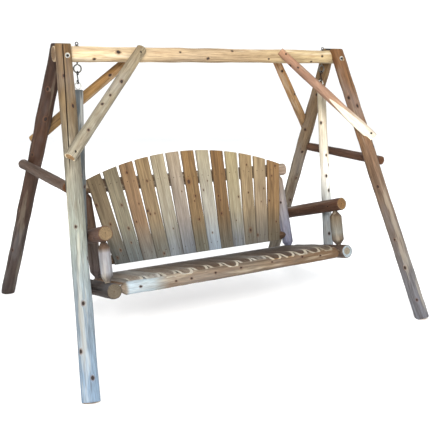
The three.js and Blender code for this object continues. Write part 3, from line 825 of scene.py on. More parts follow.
def soften_top(sx, sy, ease=9.0):
    """Wears the sawn top edge of a leg round, all but the side that meets the other leg."""
    def wear(obj):
        p = positions(obj.data) / MM
        near = p[:, 2] > LEG["top_z"] - ease
        inset = end_rounding(LEG["top_z"] - p[near, 2], ease)
        centre = vec(sx * LEG["top_x"], sy * 1.5)
        away = p[near, :2] - centre
        reach = np.linalg.norm(away, axis=1)
        share = 1 - inset / np.maximum(reach, 30) * smooth(reach, 8, 34)
        p[near, :2] = centre + away * share[:, None]
        obj.data.vertices.foreach_set("co", (p * MM).astype(np.float32).ravel())
    return wear


for sx, sy in CORNERS:
    look = LEG_LOOK[sx, sy]
    a, b = leg_ends(sx, sy)
    length = float(np.linalg.norm(b - a))
    down = unit(a - b)
    heel = vec(sx * LEG["foot_x"], sy * (LEG["foot_y"] - LEG["r_foot"] / -down[2] + FOOT_LEVEL), 0)
    bolt = lambda y: vec(sx * LEG_BOLT["x"], y, LEG_BOLT["z"])
    seat = LEG_BOLT["seat_y"] - GAP
    tools = [
        space_cutter(vec(0, 0, 0), (0, 0, -1)),
        space_cutter(heel, down),
        space_cutter(vec(0, sy * 1.5, 0), (0, -sy, 0)),
        space_cutter(vec(0, 0, LEG["top_z"]), (0, 0, 1)),
        beam_tool(),
        rod_cutter(bolt(-300), bolt(300), LEG_BOLT["r"] + GAP, 24),
        rod_cutter(bolt(sy * seat), bolt(sy * 300), LEG_BOLT["washer_r"] + 3),
    ]
    run = length - PAST_FOOT
    cracks = [Groove(d, PAST_FOOT + t0 * run, PAST_FOOT + t1 * run, w, deep)
              for d, t0, t1, w, deep in look["cracks"]]
    name = "leg_" + END[sy] + "_" + SIDE[sx]
    wooden("log_" + name, BODY_FRAME, "frame_log", name, a, b, tapered(length, LEG["r_foot"], LEG["r_top"]),
           look["stops"], look["side"], look["ends"], tools, soften=soften_top(sx, sy),
           knots=leg_knots(look["knots"]), cracks=cracks, bow=0.9, twist=look.get("twist", 0.0),
           fine_ends=130)

beam_length = 2 * BEAM["half"]
eye_bores = [rod_cutter(vec(sx * PIVOT_X, 0, 1600), vec(sx * PIVOT_X, 0, 1900), 5.4, 24) for sx in (-1, 1)]
leg_bores = [rod_cutter(vec(sx * LEG_BOLT["x"], -300, LEG_BOLT["z"]),
                        vec(sx * LEG_BOLT["x"], 300, LEG_BOLT["z"]), 5.4, 24) for sx in (-1, 1)]
# Painted shade: the beam's end grain gets darker colours than the other tan ends, for the shade on its sawn
# ends.
wooden("log_top_beam", BODY_FRAME, "beam_log", "top_beam", vec(-BEAM["half"], 0, BEAM["z"]),
       vec(BEAM["half"], 0, BEAM["z"]), tapered(beam_length, BEAM["r"], BEAM["r"]),
       [(0, (203, 178, 143)), (0.12, (220, 197, 160)), (0.35, (196, 172, 138)), (0.6, (193, 167, 131)),
        (0.85, (216, 192, 148)), (1, (206, 184, 142))], dict(bark=0.4, pale=0.5, grey=0.08, grain=0.9,
                                                             checks=0.5, pale_colour=(240, 230, 208)),
       dict(heart=(140, 112, 82), sap=(176, 156, 124)), eye_bores + leg_bores, relief=0.9, bow=0.6, ease=3,
       knots=[(0.182 * beam_length, -20, 8), (0.111 * beam_length, 37, 5), (0.476 * beam_length, 24, 6),
              (0.564 * beam_length, -45, 5), (0.876 * beam_length, 47, 5), (0.917 * beam_length, -8, 5),
              (0.38 * beam_length, -27, 4), (0.7 * beam_length, 20, 4), (0.3 * beam_length, 170, 6),
              (0.65 * beam_length, 200, 6)], cracks=[Groove(100, 300, 1500, 2.2, 8)])

# ---- braces
BRACE_LOOK = {(-1, -1): dict(stops=[(0, (158, 151, 133)), (0.3, (150, 144, 127)), (0.7, (153, 141, 118)),
                                    (1, (156, 141, 113))], side=dict(bark=0.45, pale=0.4, grey=0.35,
        grain=1.0, pale_colour=(216, 208, 192)), knots=[(0.664, -10, 7), (0.416, -44, 5), (0.176, -19, 5),
                                                        (0.514, -28, 4), (0.6, 160, 5)],
                             ends=dict(heart=(176, 142, 100), sap=(236, 224, 196))),
              (1, -1): dict(stops=[(0, (216, 204, 188)), (0.22, (206, 190, 170)), (0.42, (180, 142, 114)),
                                   (0.75, (158, 118, 94)), (1, (172, 130, 100))],
                            side=dict(bark=0.35, pale=0.3, grey=0.1, grain=0.7),
                            knots=[(0.9, -80, 5), (0.84, -20, 4), (0.3, 120, 5), (0.6, 200, 5)],
                            ends=dict(heart=(190, 148, 106), sap=(232, 214, 180))),
              (-1, 1): dict(stops=[(0, (143, 113, 69)), (0.5, (152, 118, 71)), (1, (147, 105, 56))],
                            side=dict(bark=0.4, pale=0.35, grey=0.1), knots=[(0.778, -18, 6), (0.4, 30, 5),
        (0.5, 180, 5)], ends=TAN_END), (1, 1): dict(stops=[(0, (174, 139, 99)), (0.5, (188, 147, 99)),
                                                           (1, (182, 130, 77))], side=dict(bark=0.45,
        pale=0.4, grey=0.05), knots=[(0.85, -20, 6), (0.5, 10, 5), (0.4, 170, 5)], ends=TAN_END)}


def brace_points(sx, sy):
    own = FRONT_BRACE if sy < 0 else REAR_BRACE
    top = vec(sx * BRACE["top_x"], sy * own["top_y"], own["top_z"])
    low = vec(sx * BRACE["low_x"], sy * BRACE["low_y"], own["low_z"])
    return own, low, top


def lag_places(sx, sy):
    own, low, top = brace_points(sx, sy)
    return [(top, own["r_top"][sx]), (low, BRACE["r_low"])]


for sx, sy in CORNERS:
    look = BRACE_LOOK[sx, sy]
    own, low, top = brace_points(sx, sy)
    along = unit(top - low)
    a, b = low - along * own["past_low"], top + along * own["past_top"]
    length = float(np.linalg.norm(b - a))
    outward = unit(vec(0, sy, 0.15))
    tools = [beam_tool(), leg_tool(sx, sy)]
    for place, r in lag_places(sx, sy):
        tools.append(rod_cutter(place + outward * (r - LAG_DEPTH), place + outward * 90, LAG_R, 32))
    flats = [(-40, 10, 0.55 * length, 0.5)] if (sx, sy) == (1, -1) else []
    name = "brace_" + END[sy] + "_" + SIDE[sx]
    run = length - own["past_low"] - own["past_top"]
    knots = [(own["past_low"] + t * run, d, s) for t, d, s in look["knots"]]
    wooden("log_" + name, BODY_FRAME, "frame_log", name, a, b, tapered(length, BRACE["r_low"],
            own["r_top"][sx]), look["stops"], look["side"], look["ends"], tools, knots=knots, flats=flats,
           ease=5, sides=60, spacing=7, relief=0.85, bow=0.7,
           cracks=[Groove(190, 80, length * 0.7, 1.8, 6)])

# ---- cross rails
for sx in (-1, 1):
    a = vec(sx * CROSS["in_x"], sx * CROSS["in_y"], CROSS["in_z"])
    b = vec(sx * CROSS["out_x"], -sx * CROSS["out_y"], CROSS["out_z"])
    length = float(np.linalg.norm(b - a))
    tools = [leg_tool(sx, -1), leg_tool(sx, 1)]
    stops = [(0, (96, 76, 62)), (0.5, (90, 70, 56)), (1, (94, 76, 64))]
    if sx > 0:
        stops = [(0, (98, 68, 48)), (0.5, (92, 62, 44)), (1, (94, 64, 46))]
    name = "cross_rail_" + SIDE[sx]
    wooden("log_" + name, BODY_FRAME, "dark_log", name, a, b, tapered(length, CROSS["r"], CROSS["r"]),
           stops, dict(bark=0.6, pale=0.04, grey=0.02, pale_colour=(150, 120, 96)),
           dict(heart=(104, 66, 38), sap=(118, 84, 56)), tools, sides=60, spacing=7,
           knots=[(0.693 * length, -68, 5), (0.494 * length, -71, 4), (0.3 * length, 100, 5)],
           cracks=[Groove(120, 60, length * 0.8, 1.8, 6)], relief=0.85, bow=0.7)

# ---------------------------------------------------------------- bench logs
POLE_TOP = {}
PIVOT, UP = {}, {}
for sx in (-1, 1):
    low = vec(sx * POLE["low"][0], POLE["low"][1], POLE["low"][2])
    PIVOT[sx] = vec(sx * PIVOT_X, 0, SCREW_EYE["z"])
    UP[sx] = unit(PIVOT[sx] - low)
    POLE_TOP[sx] = PIVOT[sx] - UP[sx] * (2 * SCREW_EYE["ring"] + SCREW_EYE["pole_gap"])


RAIL_PROFILE = [tenoned(2 * TENON_END, r, RAIL_SHOULDER, TENON_END - RAIL_SHOULDER - 27)
                for r in (FRONT_RAIL_R, REAR_RAIL_R)]


def rail_ends(s):
    return on_seat(-TENON_END, s, 0), on_seat(TENON_END, s, 0)


def grown(profile, grow=GAP):
    return [(d, r + grow) for d, r in profile]


def seat_rail_tools():
    return [rod_cutter(*rail_ends(s), 0, profile=grown(profile))
            for s, profile in zip((0, REAR_RAIL_S), RAIL_PROFILE)]


def post_ends(sx):
    return (on_seat(sx * ARM_POST["x"], ARM_POST["s"], ARM_POST["low"] - 26),
            on_seat(sx * ARM_POST["x"], ARM_POST["s"], ARM_POST["high"] + 24))


POST_PROFILE = {sx: tenoned(ARM_POST["high"] - ARM_POST["low"] + 50, ARM_POST["r"][sx], 88, 30, 34)
                for sx in (-1, 1)}
UPRIGHT_PROFILE = tenoned(TOP_RAIL["u"] - 32, UPRIGHT_R, (TOP_RAIL["u"] - 32) / 2 - 62, 30, 32)
LOW_PROFILE = tenoned(2 * LOW_RAIL["end"], LOW_RAIL["r"], LOW_RAIL["shoulder"],
                      LOW_RAIL["end"] - LOW_RAIL["shoulder"] - 27)


def upright_ends(sx):
    return on_back(sx * UPRIGHT_X, 18, 0), on_back(sx * UPRIGHT_X, TOP_RAIL["u"] - 14, 0)


def post_tool(sx):
    return rod_cutter(*post_ends(sx), 0, profile=grown(POST_PROFILE[sx]))


def upright_tool(sx):
    return rod_cutter(*upright_ends(sx), 0, profile=grown(UPRIGHT_PROFILE))


def low_rail_ends():
    return [on_back(side * LOW_RAIL["end"], LOW_RAIL["u"], LOW_RAIL["w"]) for side in (-1, 1)]


def armrest_ends(sx):
    (fx, fy, fz), (bx, by, bz) = ARMREST["front"], ARMREST["back"]
    return vec(sx * fx, fy, fz), vec(sx * bx, by, bz)


def armrest_tool(sx):
    a, b = armrest_ends(sx)
    return rod_cutter(a, b, ARMREST["r"] + NOTCH)


def side_rail_ends(sx):
    return on_seat(sx * SIDE_RAIL["x"], SIDE_RAIL["front"], 0), on_seat(sx * SIDE_RAIL["x"],
            SIDE_RAIL["back"], 0)


def side_rail_tool(sx):
    return rod_cutter(*side_rail_ends(sx), SIDE_RAIL["r"] + NOTCH)


for sx in (-1, 1):
    left = sx < 0
    side = SIDE[sx]
    a, b = side_rail_ends(sx)
    length = float(np.linalg.norm(b - a))
    wooden("log_side_rail_" + side, BODY_BENCH, "swing_log", "side_rail_" + side, a, b,
           tapered(length, SIDE_RAIL["r"], SIDE_RAIL["r"]),
           [(0, (44, 33, 28) if left else (102, 86, 76)), (1, (60, 46, 38))],
           dict(bark=0.6, pale=0.12, grey=0.2),
           dict(heart=(111, 102, 87), sap=(104, 97, 85), share=0.86) if left else
           dict(heart=(160, 154, 138), sap=(178, 194, 204), share=0.52),
           seat_rail_tools() + [post_tool(sx)], relief=0.8, bow=0.3, spacing=7,
           knots=[(260, 60, 6), (420, -100, 5), (150, 150, 5)], cracks=[Groove(100, 60, 500, 2, 7)])

    a, b = post_ends(sx)
    wooden("log_arm_post_" + side, BODY_BENCH, "swing_log", "arm_post_" + side, a, b, POST_PROFILE[sx],
           [(0, (94, 77, 62)), (0.2, (117, 114, 114)), (0.3, (153, 156, 164)), (0.7, (147, 146, 151)),
            (0.8, (94, 74, 58)), (1, (72, 52, 39))] if left else [(0, (82, 66, 51)), (0.24, (116, 101, 84)),
            (0.4, (136, 134, 126)), (0.6, (129, 120, 105)), (0.78, (117, 101, 81)), (0.84, (91, 72, 53)),
            (1, (74, 56, 41))], dict(bark=0.25, pale=0.3, grey=0.25, grain=0.6, checks=0.2), TAN_END,
           relief=0.35, bow=0, spacing=2.5, sides=64, ease=1.5, knots=[(170, 70, 4)],
           bands=[] if left else [(84 + 13 * i, 88 + 13 * i, 0.7) for i in range(10)])

    a, b = armrest_ends(sx)
    length = float(np.linalg.norm(b - a))
    wooden("log_armrest_" + side, BODY_BENCH, "dark_log", "armrest_" + side, a, b,
           tapered(length, ARMREST["r"], ARMREST["r"] - 1), [(0, (94, 62, 42)), (0.5, (88, 60, 42)),
                                                             (1, (90, 65, 46))], dict(bark=0.55, pale=0.1,
            grey=0.1), dict(heart=(140, 120, 90), sap=(134, 118, 94), share=0.86) if left
           else dict(heart=(144, 110, 70), sap=(178, 162, 128), share=0.8),
           [post_tool(sx), upright_tool(sx)], relief=0.85, bow=0.3, spacing=7, ease=5,
           knots=[(0.697 * length, 77, 6), (0.397 * length, 90, 5), (0.164 * length, 74, 5),
                  (0.5 * length, -60, 5)], cracks=[Groove(-120, 120, length * 0.9, 1.8, 6)])

    a, b = upright_ends(sx)
    wooden("log_upright_" + side, BODY_BENCH, "swing_log", "upright_" + side, a, b, UPRIGHT_PROFILE,
           [(0, (109, 97, 97)), (0.35, (107, 94, 87)), (0.6, (93, 71, 55)), (1, (87, 61, 44))] if left
           else [(0, (120, 124, 152)), (0.35, (146, 146, 164)), (0.6, (170, 160, 158)),
                 (1, (150, 130, 108))], dict(bark=0.35, pale=0.2, grey=0.35), TAN_END,
           [rod_cutter(*low_rail_ends(), 0, profile=grown(LOW_PROFILE))], relief=0.8, bow=0.3, spacing=6,
           knots=[(200, 60, 5), (380, -40, 5)])

    low = vec(sx * POLE["low"][0], POLE["low"][1], POLE["low"][2])
    length = float(np.linalg.norm(POLE_TOP[sx] - low))
    bore_end = POLE_TOP[sx] - UP[sx] * (SCREW_EYE["shank"] - 8)
    wooden("log_hanger_pole_" + side, BODY_BENCH, "pale_log", "hanger_pole_" + side, low, POLE_TOP[sx],
           tapered(length, POLE["r_low"], POLE["r_top"]), [(0, (91, 99, 105)), (0.35, (103, 110, 111)),
                                                           (0.8, (96, 102, 103)), (1, (95, 103, 108))]
           if left else [(0, (148, 157, 164)), (0.25, (173, 181, 185)), (0.5, (232, 229, 220)),
                         (0.8, (213, 201, 178)), (1, (197, 186, 162))], dict(bark=0.35, pale=0.4, grey=0.3,
            grain=0.85, pale_colour=(244, 240, 230)), dict(heart=(190, 170, 138), sap=(224, 216, 198)),
           [armrest_tool(sx), side_rail_tool(sx), rod_cutter(bore_end, POLE_TOP[sx] + UP[sx] * 20, 4.4,
                                                             24)], relief=0.8, bow=0.5, sides=60,
           knots=[(0.79 * length, -60, 6), (0.6 * length, -10, 5), (0.478 * length, -23, 6),
                  (0.39 * length, 2, 6), (0.13 * length, -23, 6), (0.54 * length, 30, 5),
                  (0.3 * length, 160, 5), (0.7 * length, 200, 5)],
           cracks=[Groove(140, 200, length * 0.7, 1.8, 6)])

wooden("log_front_rail", BODY_BENCH, "swing_log", "front_rail", *rail_ends(0), RAIL_PROFILE[0],
       [(0, (129, 108, 86)), (0.035, (129, 113, 94)), (0.045, (177, 192, 204)), (0.14, (177, 193, 201)),
        (0.2, (140, 126, 111)), (0.42, (125, 107, 89)), (0.55, (131, 116, 99)), (0.7, (123, 100, 77)),
        (0.85, (118, 94, 69)), (1, (109, 83, 59))], dict(bark=0.4, pale=0.35, grey=0.2), TAN_END,
       relief=0.8, bow=0.5, knots=[(67 + t * 1636, d, s) for t, d, s in [(0.054, -17, 5), (0.268, -12, 5),
        (0.376, -25, 5), (0.496, -30, 5), (0.648, -35, 4), (0.803, -34, 5), (0.201, -12, 4), (0.9, -20, 4),
        (0.3, 120, 6), (0.6, 170, 6)]], cracks=[Groove(60, 300, 1300, 2, 7)])
wooden("log_rear_rail", BODY_BENCH, "swing_log", "rear_rail", *rail_ends(REAR_RAIL_S), RAIL_PROFILE[1],
       [(0, (128, 104, 84)), (0.5, (142, 118, 96)), (1, (130, 106, 86))],
       dict(bark=0.5, pale=0.3, grey=0.25), TAN_END, [upright_tool(-1), upright_tool(1)], relief=0.8,
       bow=0.4, knots=scatter("rear_rail", 8, 2 * TENON_END))
wooden("log_upper_back_rail", BODY_BENCH, "swing_log", "upper_back_rail",
       on_back(-TOP_RAIL["half"], TOP_RAIL["u"], 0), on_back(TOP_RAIL["half"], TOP_RAIL["u"], 0),
       tapered(2 * TOP_RAIL["half"], TOP_RAIL["r"], TOP_RAIL["r"]),
       [(0, (150, 126, 98)), (0.1, (96, 74, 56)), (0.9, (104, 82, 62)), (0.95, (170, 144, 120)),
        (1, (176, 158, 142))], dict(bark=0.35, pale=0.5, grey=0.15),
       dict(heart=(158, 130, 98), sap=(188, 182, 168)), [upright_tool(-1), upright_tool(1)], relief=0.7,
       bow=0.3, ease=5, knots=scatter("upper_back_rail", 8, 2 * TOP_RAIL["half"]))
wooden("log_lower_back_rail", BODY_BENCH, "swing_log", "lower_back_rail",
       *low_rail_ends(),
       LOW_PROFILE, [(0, (120, 92, 68)), (0.06, (104, 84, 66)), (0.9, (104, 84, 66)), (1, (84, 60, 44))],
       dict(bark=0.5, pale=0.3, grey=0.25), TAN_END, relief=0.7, bow=0.3, sides=60,
       knots=scatter("lower_back_rail", 6, 2 * LOW_RAIL["end"]))


# ---------------------------------------------------------------- back boards
def closed_shell(obj):
    """Turns every face of a closed mesh outwards."""
    b = bmesh.new()
    b.from_mesh(obj.data)
    bmesh.ops.remove_doubles(b, verts=b.verts, dist=1e-6)
    bmesh.ops.recalc_face_normals(b, faces=b.faces)
    b.to_mesh(obj.data)
    b.free()


def arch(x):
    return ARCH_CROWN - ARCH_R + math.sqrt(ARCH_R ** 2 - x ** 2)


# per board: colours from the foot to the arch, ring contrast, knots (u, x, radius), sapwood edge, ring width
BOARD_LOOK = [dict(foot=(86, 90, 90), low=(126, 112, 90), top=(133, 114, 86),
                   knots=[(523, -44, 8), (383, 7, 7), (199, 17, 6), (150, -20, 6)]),
              dict(foot=(97, 104, 107), low=(133, 127, 109), top=(135, 123, 100),
                   knots=[(340, 11, 7), (506, 10, 6), (240, 0, 5)]),
              dict(foot=(110, 112, 111), low=(141, 115, 89), top=(146, 117, 84),
                   knots=[(730, -10, 8), (503, 19, 5), (379, -33, 6)]),
              dict(foot=(115, 118, 114), low=(144, 125, 98), top=(149, 125, 90),
                   knots=[(446, -44, 9), (423, 6, 5), (659, 3, 7), (133, 7, 7), (421, -30, 6)]),
              dict(foot=(127, 135, 143), low=(167, 162, 147), top=(169, 156, 130), knots=[(300, 10, 4)],
                   contrast=0.45), dict(foot=(113, 120, 129), low=(157, 147, 139), top=(160, 145, 124),
                                        knots=[(560, 20, 4)], contrast=0.45),
              dict(foot=(109, 110, 101), low=(142, 118, 85), top=(146, 115, 74),
                   knots=[(626, -28, 14), (517, 8, 7), (343, 9, 7), (480, -5, 5)], contrast=1.0),
              dict(foot=(146, 161, 177), low=(171, 169, 161), top=(176, 166, 140),
                   knots=[(554, -34, 5), (233, -7, 5), (620, 10, 4)], contrast=0.5),
              dict(foot=(103, 100, 92), low=(126, 100, 68), top=(133, 101, 63),
                   knots=[(499, -30, 7), (365, -19, 8), (466, -17, 5)], contrast=0.95),
              dict(foot=(119, 125, 133), low=(169, 160, 136), top=(177, 162, 124),
                   knots=[(476, 29, 6), (300, -10, 4)], sap=(1, 15), contrast=0.6),
              dict(foot=(112, 109, 101), low=(163, 145, 116), top=(165, 141, 104),
                   knots=[(500, 4, 6), (212, 0, 10), (716, 4, 6)], contrast=0.8),
              dict(foot=(114, 111, 105), low=(162, 144, 120), top=(173, 152, 118),
                   knots=[(167, -44, 7), (520, 29, 5), (420, 0, 4)], contrast=0.6),
              dict(foot=(106, 98, 84), low=(144, 117, 83), top=(153, 118, 78),
                   knots=[(689, 15, 7), (612, -16, 5), (420, -40, 6), (250, 20, 5)], contrast=0.9)]


def board_mesh(name, low, high, knots):
    """A sawn board in the plane of the back: eased edges, a curved top, slight cup and weathered relief."""
    rng = rng_of(name)
    half, ease = BOARD["width"] / 2, 2.4
    front, thick = BOARD["face"], BOARD["thick"]
    cup = rng.uniform(-0.9, 0.5)
    wave = waves(rng, 5, (0, 3), 500, 0.5)
    grain = waves(rng, 10, (4, 26), 260, 0.16)
    side = waves(rng, 5, (0, 2), 240, 0.6)
    length = arch(high) - BOARD["bottom"]
    v = np.concatenate([np.array([0, 0.12, 0.35, 0.68, 1.0]) * ease / length,
                        np.linspace(0.01, 0.99, 92)])
    v = np.unique(np.round(np.concatenate([v, 1 - v]), 6))
    flat = np.linspace(-half + ease, half - ease, 24)
    arc = np.linspace(0, math.pi / 2, 5)
    c = np.concatenate([flat, half - ease + ease * np.sin(arc[1:]), half - ease + ease * np.cos(arc),
                        flat[::-1][1:], -half + ease - ease * np.sin(arc[1:]),
                        -half + ease - ease * np.cos(arc[:-1])])
    n_flat = len(flat)
    w = np.concatenate([np.full(n_flat, 1.0), 1 - ease * (1 - np.cos(arc[1:])) * 2 / thick,
                        -1 + ease * (1 - np.sin(arc)) * 2 / thick, np.full(n_flat - 1, -1.0),
                        -1 + ease * (1 - np.cos(arc[1:])) * 2 / thick,
                        1 - ease * (1 - np.sin(arc[:-1])) * 2 / thick])
    # The last arc ends where the front face starts, so its closing point is left out.
    vertices, local = [], []
    for share in v:
        d = min(share, 1 - share) * length
        inset = float(end_rounding(np.array([d]), ease)[0])
        ci = c * (1 - inset / half) * (1 - 0.012 * (0.5 + side(np.sign(c) * 1.3, share * length)))
        u = BOARD["bottom"] + share * (np.array([arch(high + q) for q in ci]) - BOARD["bottom"])
        x = low + ci + share * (high - low)
        relief = grain(ci / half * 1.4, u) * (w > 0.99)
        for ku, kx, size in knots:
            relief = relief + (w > 0.99) * 0.5 * np.exp(-(((ci - kx) / (1.6 * size)) ** 2
                                                          + ((u - ku) / (2.2 * size)) ** 2))
        thickness = w * (thick / 2 - inset)
        bend = wave(0.0, u) + cup * (1 - (ci / half) ** 2)
        depth = front - thick / 2 + thickness + bend - 0.6 + relief
        vertices.append(on_back_many(x, u, depth))
        local.append(np.stack([ci, thickness, u], 1))
    n = len(c)
    faces = quads(len(v), n)
    slots = [0] * len(faces) + [1, 1]
    faces += [tuple(base + j for j in range(n)) for base in (0, (len(v) - 1) * n)]
    return Mesh().add(np.concatenate(vertices), faces, slots), np.concatenate(local)


def on_back_many(x, u, w):
    origin = on_back(0, 0, 0)
    return origin + np.outer(x, [1, 0, 0]) + np.outer(u, BACK_U) + np.outer(w, BACK_W)


BOARD_END = end_grain("board_end_grain", 60, (150, 128, 100), (170, 156, 132), share=0.9, rings=5)
for i, look in enumerate(BOARD_LOOK):
    k = i - (BOARDS - 1) / 2
    low, high = k * BOARD["pitch_low"], k * BOARD["pitch_top"]
    number = "%02d" % (i + 1)
    name = "board_back_" + number
    rng = rng_of(name)
    mesh, local = board_mesh(name, low, high, look["knots"])
    placed = [(x, BOARD["thick"] / 2, u, math.pi / 2, size * 0.8) for u, x, size in look["knots"]]
    side, width = look.get("sap", (0, 0))
    material = plank(name + "_wood", placed, (rng.uniform(-30, 30), -rng.uniform(35, 70)),
                     look.get("contrast", 0.75), side, width, ring=rng.uniform(5.5, 8.5))
    obj = mesh.make(name, [material, BOARD_END])
    set_vectors(obj.data, "local", local * MM)
    stops = [(0.0, look["foot"]), (0.1, tuple(0.85 * a + 0.15 * b for a, b in zip(look["foot"], look["low"]))),
             (0.36, look["low"]),
             (1.0, look["top"])]
    set_vectors(obj.data, "tint", colour_along((local[:, 2] - BOARD["bottom"]) / 750, stops))
    # Weight of the painted shade along each board's sides, where the gaps between the boards lie.
    near = np.minimum(BOARD["width"] / 2 - np.abs(local[:, 0]), 100)
    set_numbers(obj.data, "edge", np.exp(-near / 2.0))
    set_numbers(obj.data, "crack", np.zeros(len(local)))
    closed_shell(obj)
    settle(obj, BODY_BENCH, "back_board", "back_slat_" + number, angle=50)


# ---------------------------------------------------------------- seat half logs
ROUND_R = (SLAT["width"] ** 2 / 4 + SLAT["depth"] ** 2) / (2 * SLAT["depth"])
PITH_N = SLAT["top"] + ROUND_R - SLAT["depth"]
SEAT_LOOK = [((140, 128, 115), (173, 170, 161), 0.6), ((158, 156, 151), (186, 186, 181), 0.7),
             ((121, 104, 86), (186, 181, 168), 0.35), ((113, 97, 80), (185, 180, 168), 0.35),
             ((102, 84, 68), (190, 183, 168), 0.25), ((95, 77, 61), (190, 181, 165), 0.2),
             ((88, 70, 54), (192, 185, 170), 0.2), ((93, 77, 64), (186, 181, 170), 0.35),
             ((103, 93, 82), (181, 178, 170), 0.5), ((84, 65, 48), (192, 183, 166), 0.15),
             ((78, 59, 44), (190, 181, 165), 0.15), ((75, 57, 44), (186, 178, 161), 0.15),
             ((81, 64, 49), (172, 162, 145), 0.2), ((102, 90, 74), (154, 144, 125), 0.3)]


def seat_mesh(name, x0):
    """Half a log with its flat up, rounded down at the front so that the sapwood shows as a U."""
    rng = rng_of(name)
    nose, nose_r = SLAT["nose"] + rng.uniform(-9, 6), SLAT["nose_r"] + rng.uniform(-10, 8)
    tip, back, top = SLAT["tip"], SLAT["back"], SLAT["top"]
    spacing = 8
    s = np.concatenate([np.arange(tip, nose + 10, spacing / 2), np.arange(nose + 12, back - 3, spacing),
                        [tip + 0.6, tip + 1.6], [back - 2.4, back - 1.2, back - 0.3, back]])
    s = np.unique(np.round(s, 2))
    wide = waves(rng, 5, (0, 0), 260, 0.9)
    peeled = waves(rng, 8, (2, 9), 220, 0.6)
    dressed = waves(rng, 9, (1, 12), 200, 0.35)
    n_arc, n_top = ((34, 22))
    vertices = []
    for at in s:
        drop = max(0.0, nose - at)
        level = top - nose_r + math.sqrt(nose_r ** 2 - drop ** 2)
        inset = float(end_rounding(np.array([min(at - tip, back - at)]), 2.2)[0])
        r = ROUND_R - 1.1 + min(0.9, float(wide(0.0, at))) - inset
        spread = math.acos(np.clip((PITH_N - level) / r, -1, 1))
        arc = np.linspace(-spread, spread, n_arc)
        ra = r + np.minimum(0.4, peeled(arc, at)) - 0.5
        ax, an = ra * np.sin(arc), PITH_N - ra * np.cos(arc)
        ease = 2.0
        reach = ax[-1] - ease
        across = np.linspace(reach, -reach, n_top)
        tn = level - inset - 0.3 + dressed(across / 30, at) * np.clip((reach - np.abs(across)) / 6, 0, 1)
        an = np.minimum(an, level - ease * 0.6)
        vertices.append(np.stack([np.concatenate([ax, across]) + x0, np.full(n_arc + n_top, at),
                                  np.concatenate([an, tn])], 1))
    n = n_arc + n_top
    grid = np.concatenate(vertices)
    faces = quads(len(s), n)
    slots = [0] * len(faces) + [1] * (2 * n)
    ends = []
    for m, base in enumerate((0, (len(s) - 1) * n)):
        centre = len(grid) + m
        ends.append(grid[base:base + n].mean(0))
        faces += [(base + j, base + (j + 1) % n, centre) for j in range(n)]
    grid = np.concatenate([grid, np.array(ends)])
    world = on_seat(0, 0, 0) + np.outer(grid[:, 0], [1, 0, 0]) + np.outer(grid[:, 1], SEAT_S) \
        + np.outer(grid[:, 2], SEAT_N)
    return Mesh().add(world, faces, slots)


SEAT_END = end_grain("seat_end_grain", ROUND_R, (150, 116, 80), (206, 190, 160), share=0.78, rings=3.2)
for i, (heart, sap, grey) in enumerate(SEAT_LOOK):
    x0 = (i - (SEAT_SLATS - 1) / 2) * SEAT_PITCH
    number = "%02d" % (i + 1)
    name = "half_log_seat_" + number
    rng = rng_of(name)
    mesh = seat_mesh(name, x0)
    knots = [(x, -15, z, -math.pi / 2, size) for x, z, size in
             zip(rng.uniform(-34, 34, 3), rng.uniform(60, 540, 3), rng.uniform(4, 8, 3))]
    material = half_log(name + "_wood", ROUND_R, knots, heart, sap, sap_depth=rng.uniform(14, 17.5),
                        grey=grey)
    obj = mesh.make(name, [material, SEAT_END])
    closed_shell(obj)
    tools = seat_rail_tools()
    if i in (0, SEAT_SLATS - 1):
        sx = -1 if i == 0 else 1
        tools.append(rod_cutter(*upright_ends(sx), 0, profile=grown(UPRIGHT_PROFILE, 2.4)))
    cut(obj, tools)
    q = positions(obj.data) / MM - on_seat(x0, 0, 0)
    local = np.stack([q[:, 0], q @ SEAT_N - PITH_N, q @ SEAT_S], 1)
    set_vectors(obj.data, "local", local * MM)
    set_numbers(obj.data, "crack", np.zeros(len(local)))
    settle(obj, BODY_BENCH, "seat_slab", "seat_slat_" + number, angle=44)


# ---------------------------------------------------------------- steel
def tube(points, radius, sides=18, closed=False):
    """Round wire along a path, with rounded ends where it is open."""
    p = np.asarray(points, float)
    n = len(p)
    r = np.full(n, float(radius)) if np.isscalar(radius) else np.asarray(radius, float)
    if closed:
        step = np.roll(p, -1, 0) - np.roll(p, 1, 0)
    else:
        step = np.gradient(p, axis=0)
    t = step / np.linalg.norm(step, axis=1)[:, None]
    side = np.cross(t[0], [1.0, 0, 0] if abs(t[0][0]) < 0.9 else [0, 1.0, 0])
    frames = []
    for i in range(n):
        side = unit(side - t[i] * side.dot(t[i]))
        frames.append((side, np.cross(t[i], side)))
    th = circle(sides)
    rings = [p[i] + r[i] * (np.outer(np.cos(th), a) + np.outer(np.sin(th), b))
             for i, (a, b) in enumerate(frames)]
    faces = quads(n, sides, closed)
    vertices = np.concatenate(rings)
    if not closed:
        vertices = np.concatenate([vertices, p[:1], p[-1:]])
        last = (n - 1) * sides
        for j in range(sides):
            k = (j + 1) % sides
            faces.append((j, n * sides, k))
            faces.append((last + j, last + k, n * sides + 1))
    return vertices, faces


def blunt(points, radius):
    """Radii along a path that close in a rounded end at both ends."""
    p = np.asarray(points, float)
    run = np.concatenate([[0], np.cumsum(np.linalg.norm(np.diff(p, axis=0), axis=1))])
    d = np.minimum(run, run[-1] - run)
    return radius * np.sqrt(np.clip(1 - np.clip(1 - d / radius, 0, 1) ** 2, 0.02, 1))


def lathe(a, b, steps, sides=40, loop=False):
    """Turned metal: (distance along, radius) steps round the line from a to b."""
    axis = Axis(a, b)
    th = circle(sides)
    rings = [np.stack([r * np.cos(th), r * np.sin(th), np.full(sides, float(d))], 1) for d, r in steps]
    faces = quads(len(steps), sides, loop) + ([] if loop else caps(len(steps), sides))
    return axis.out(np.concatenate(rings)), faces


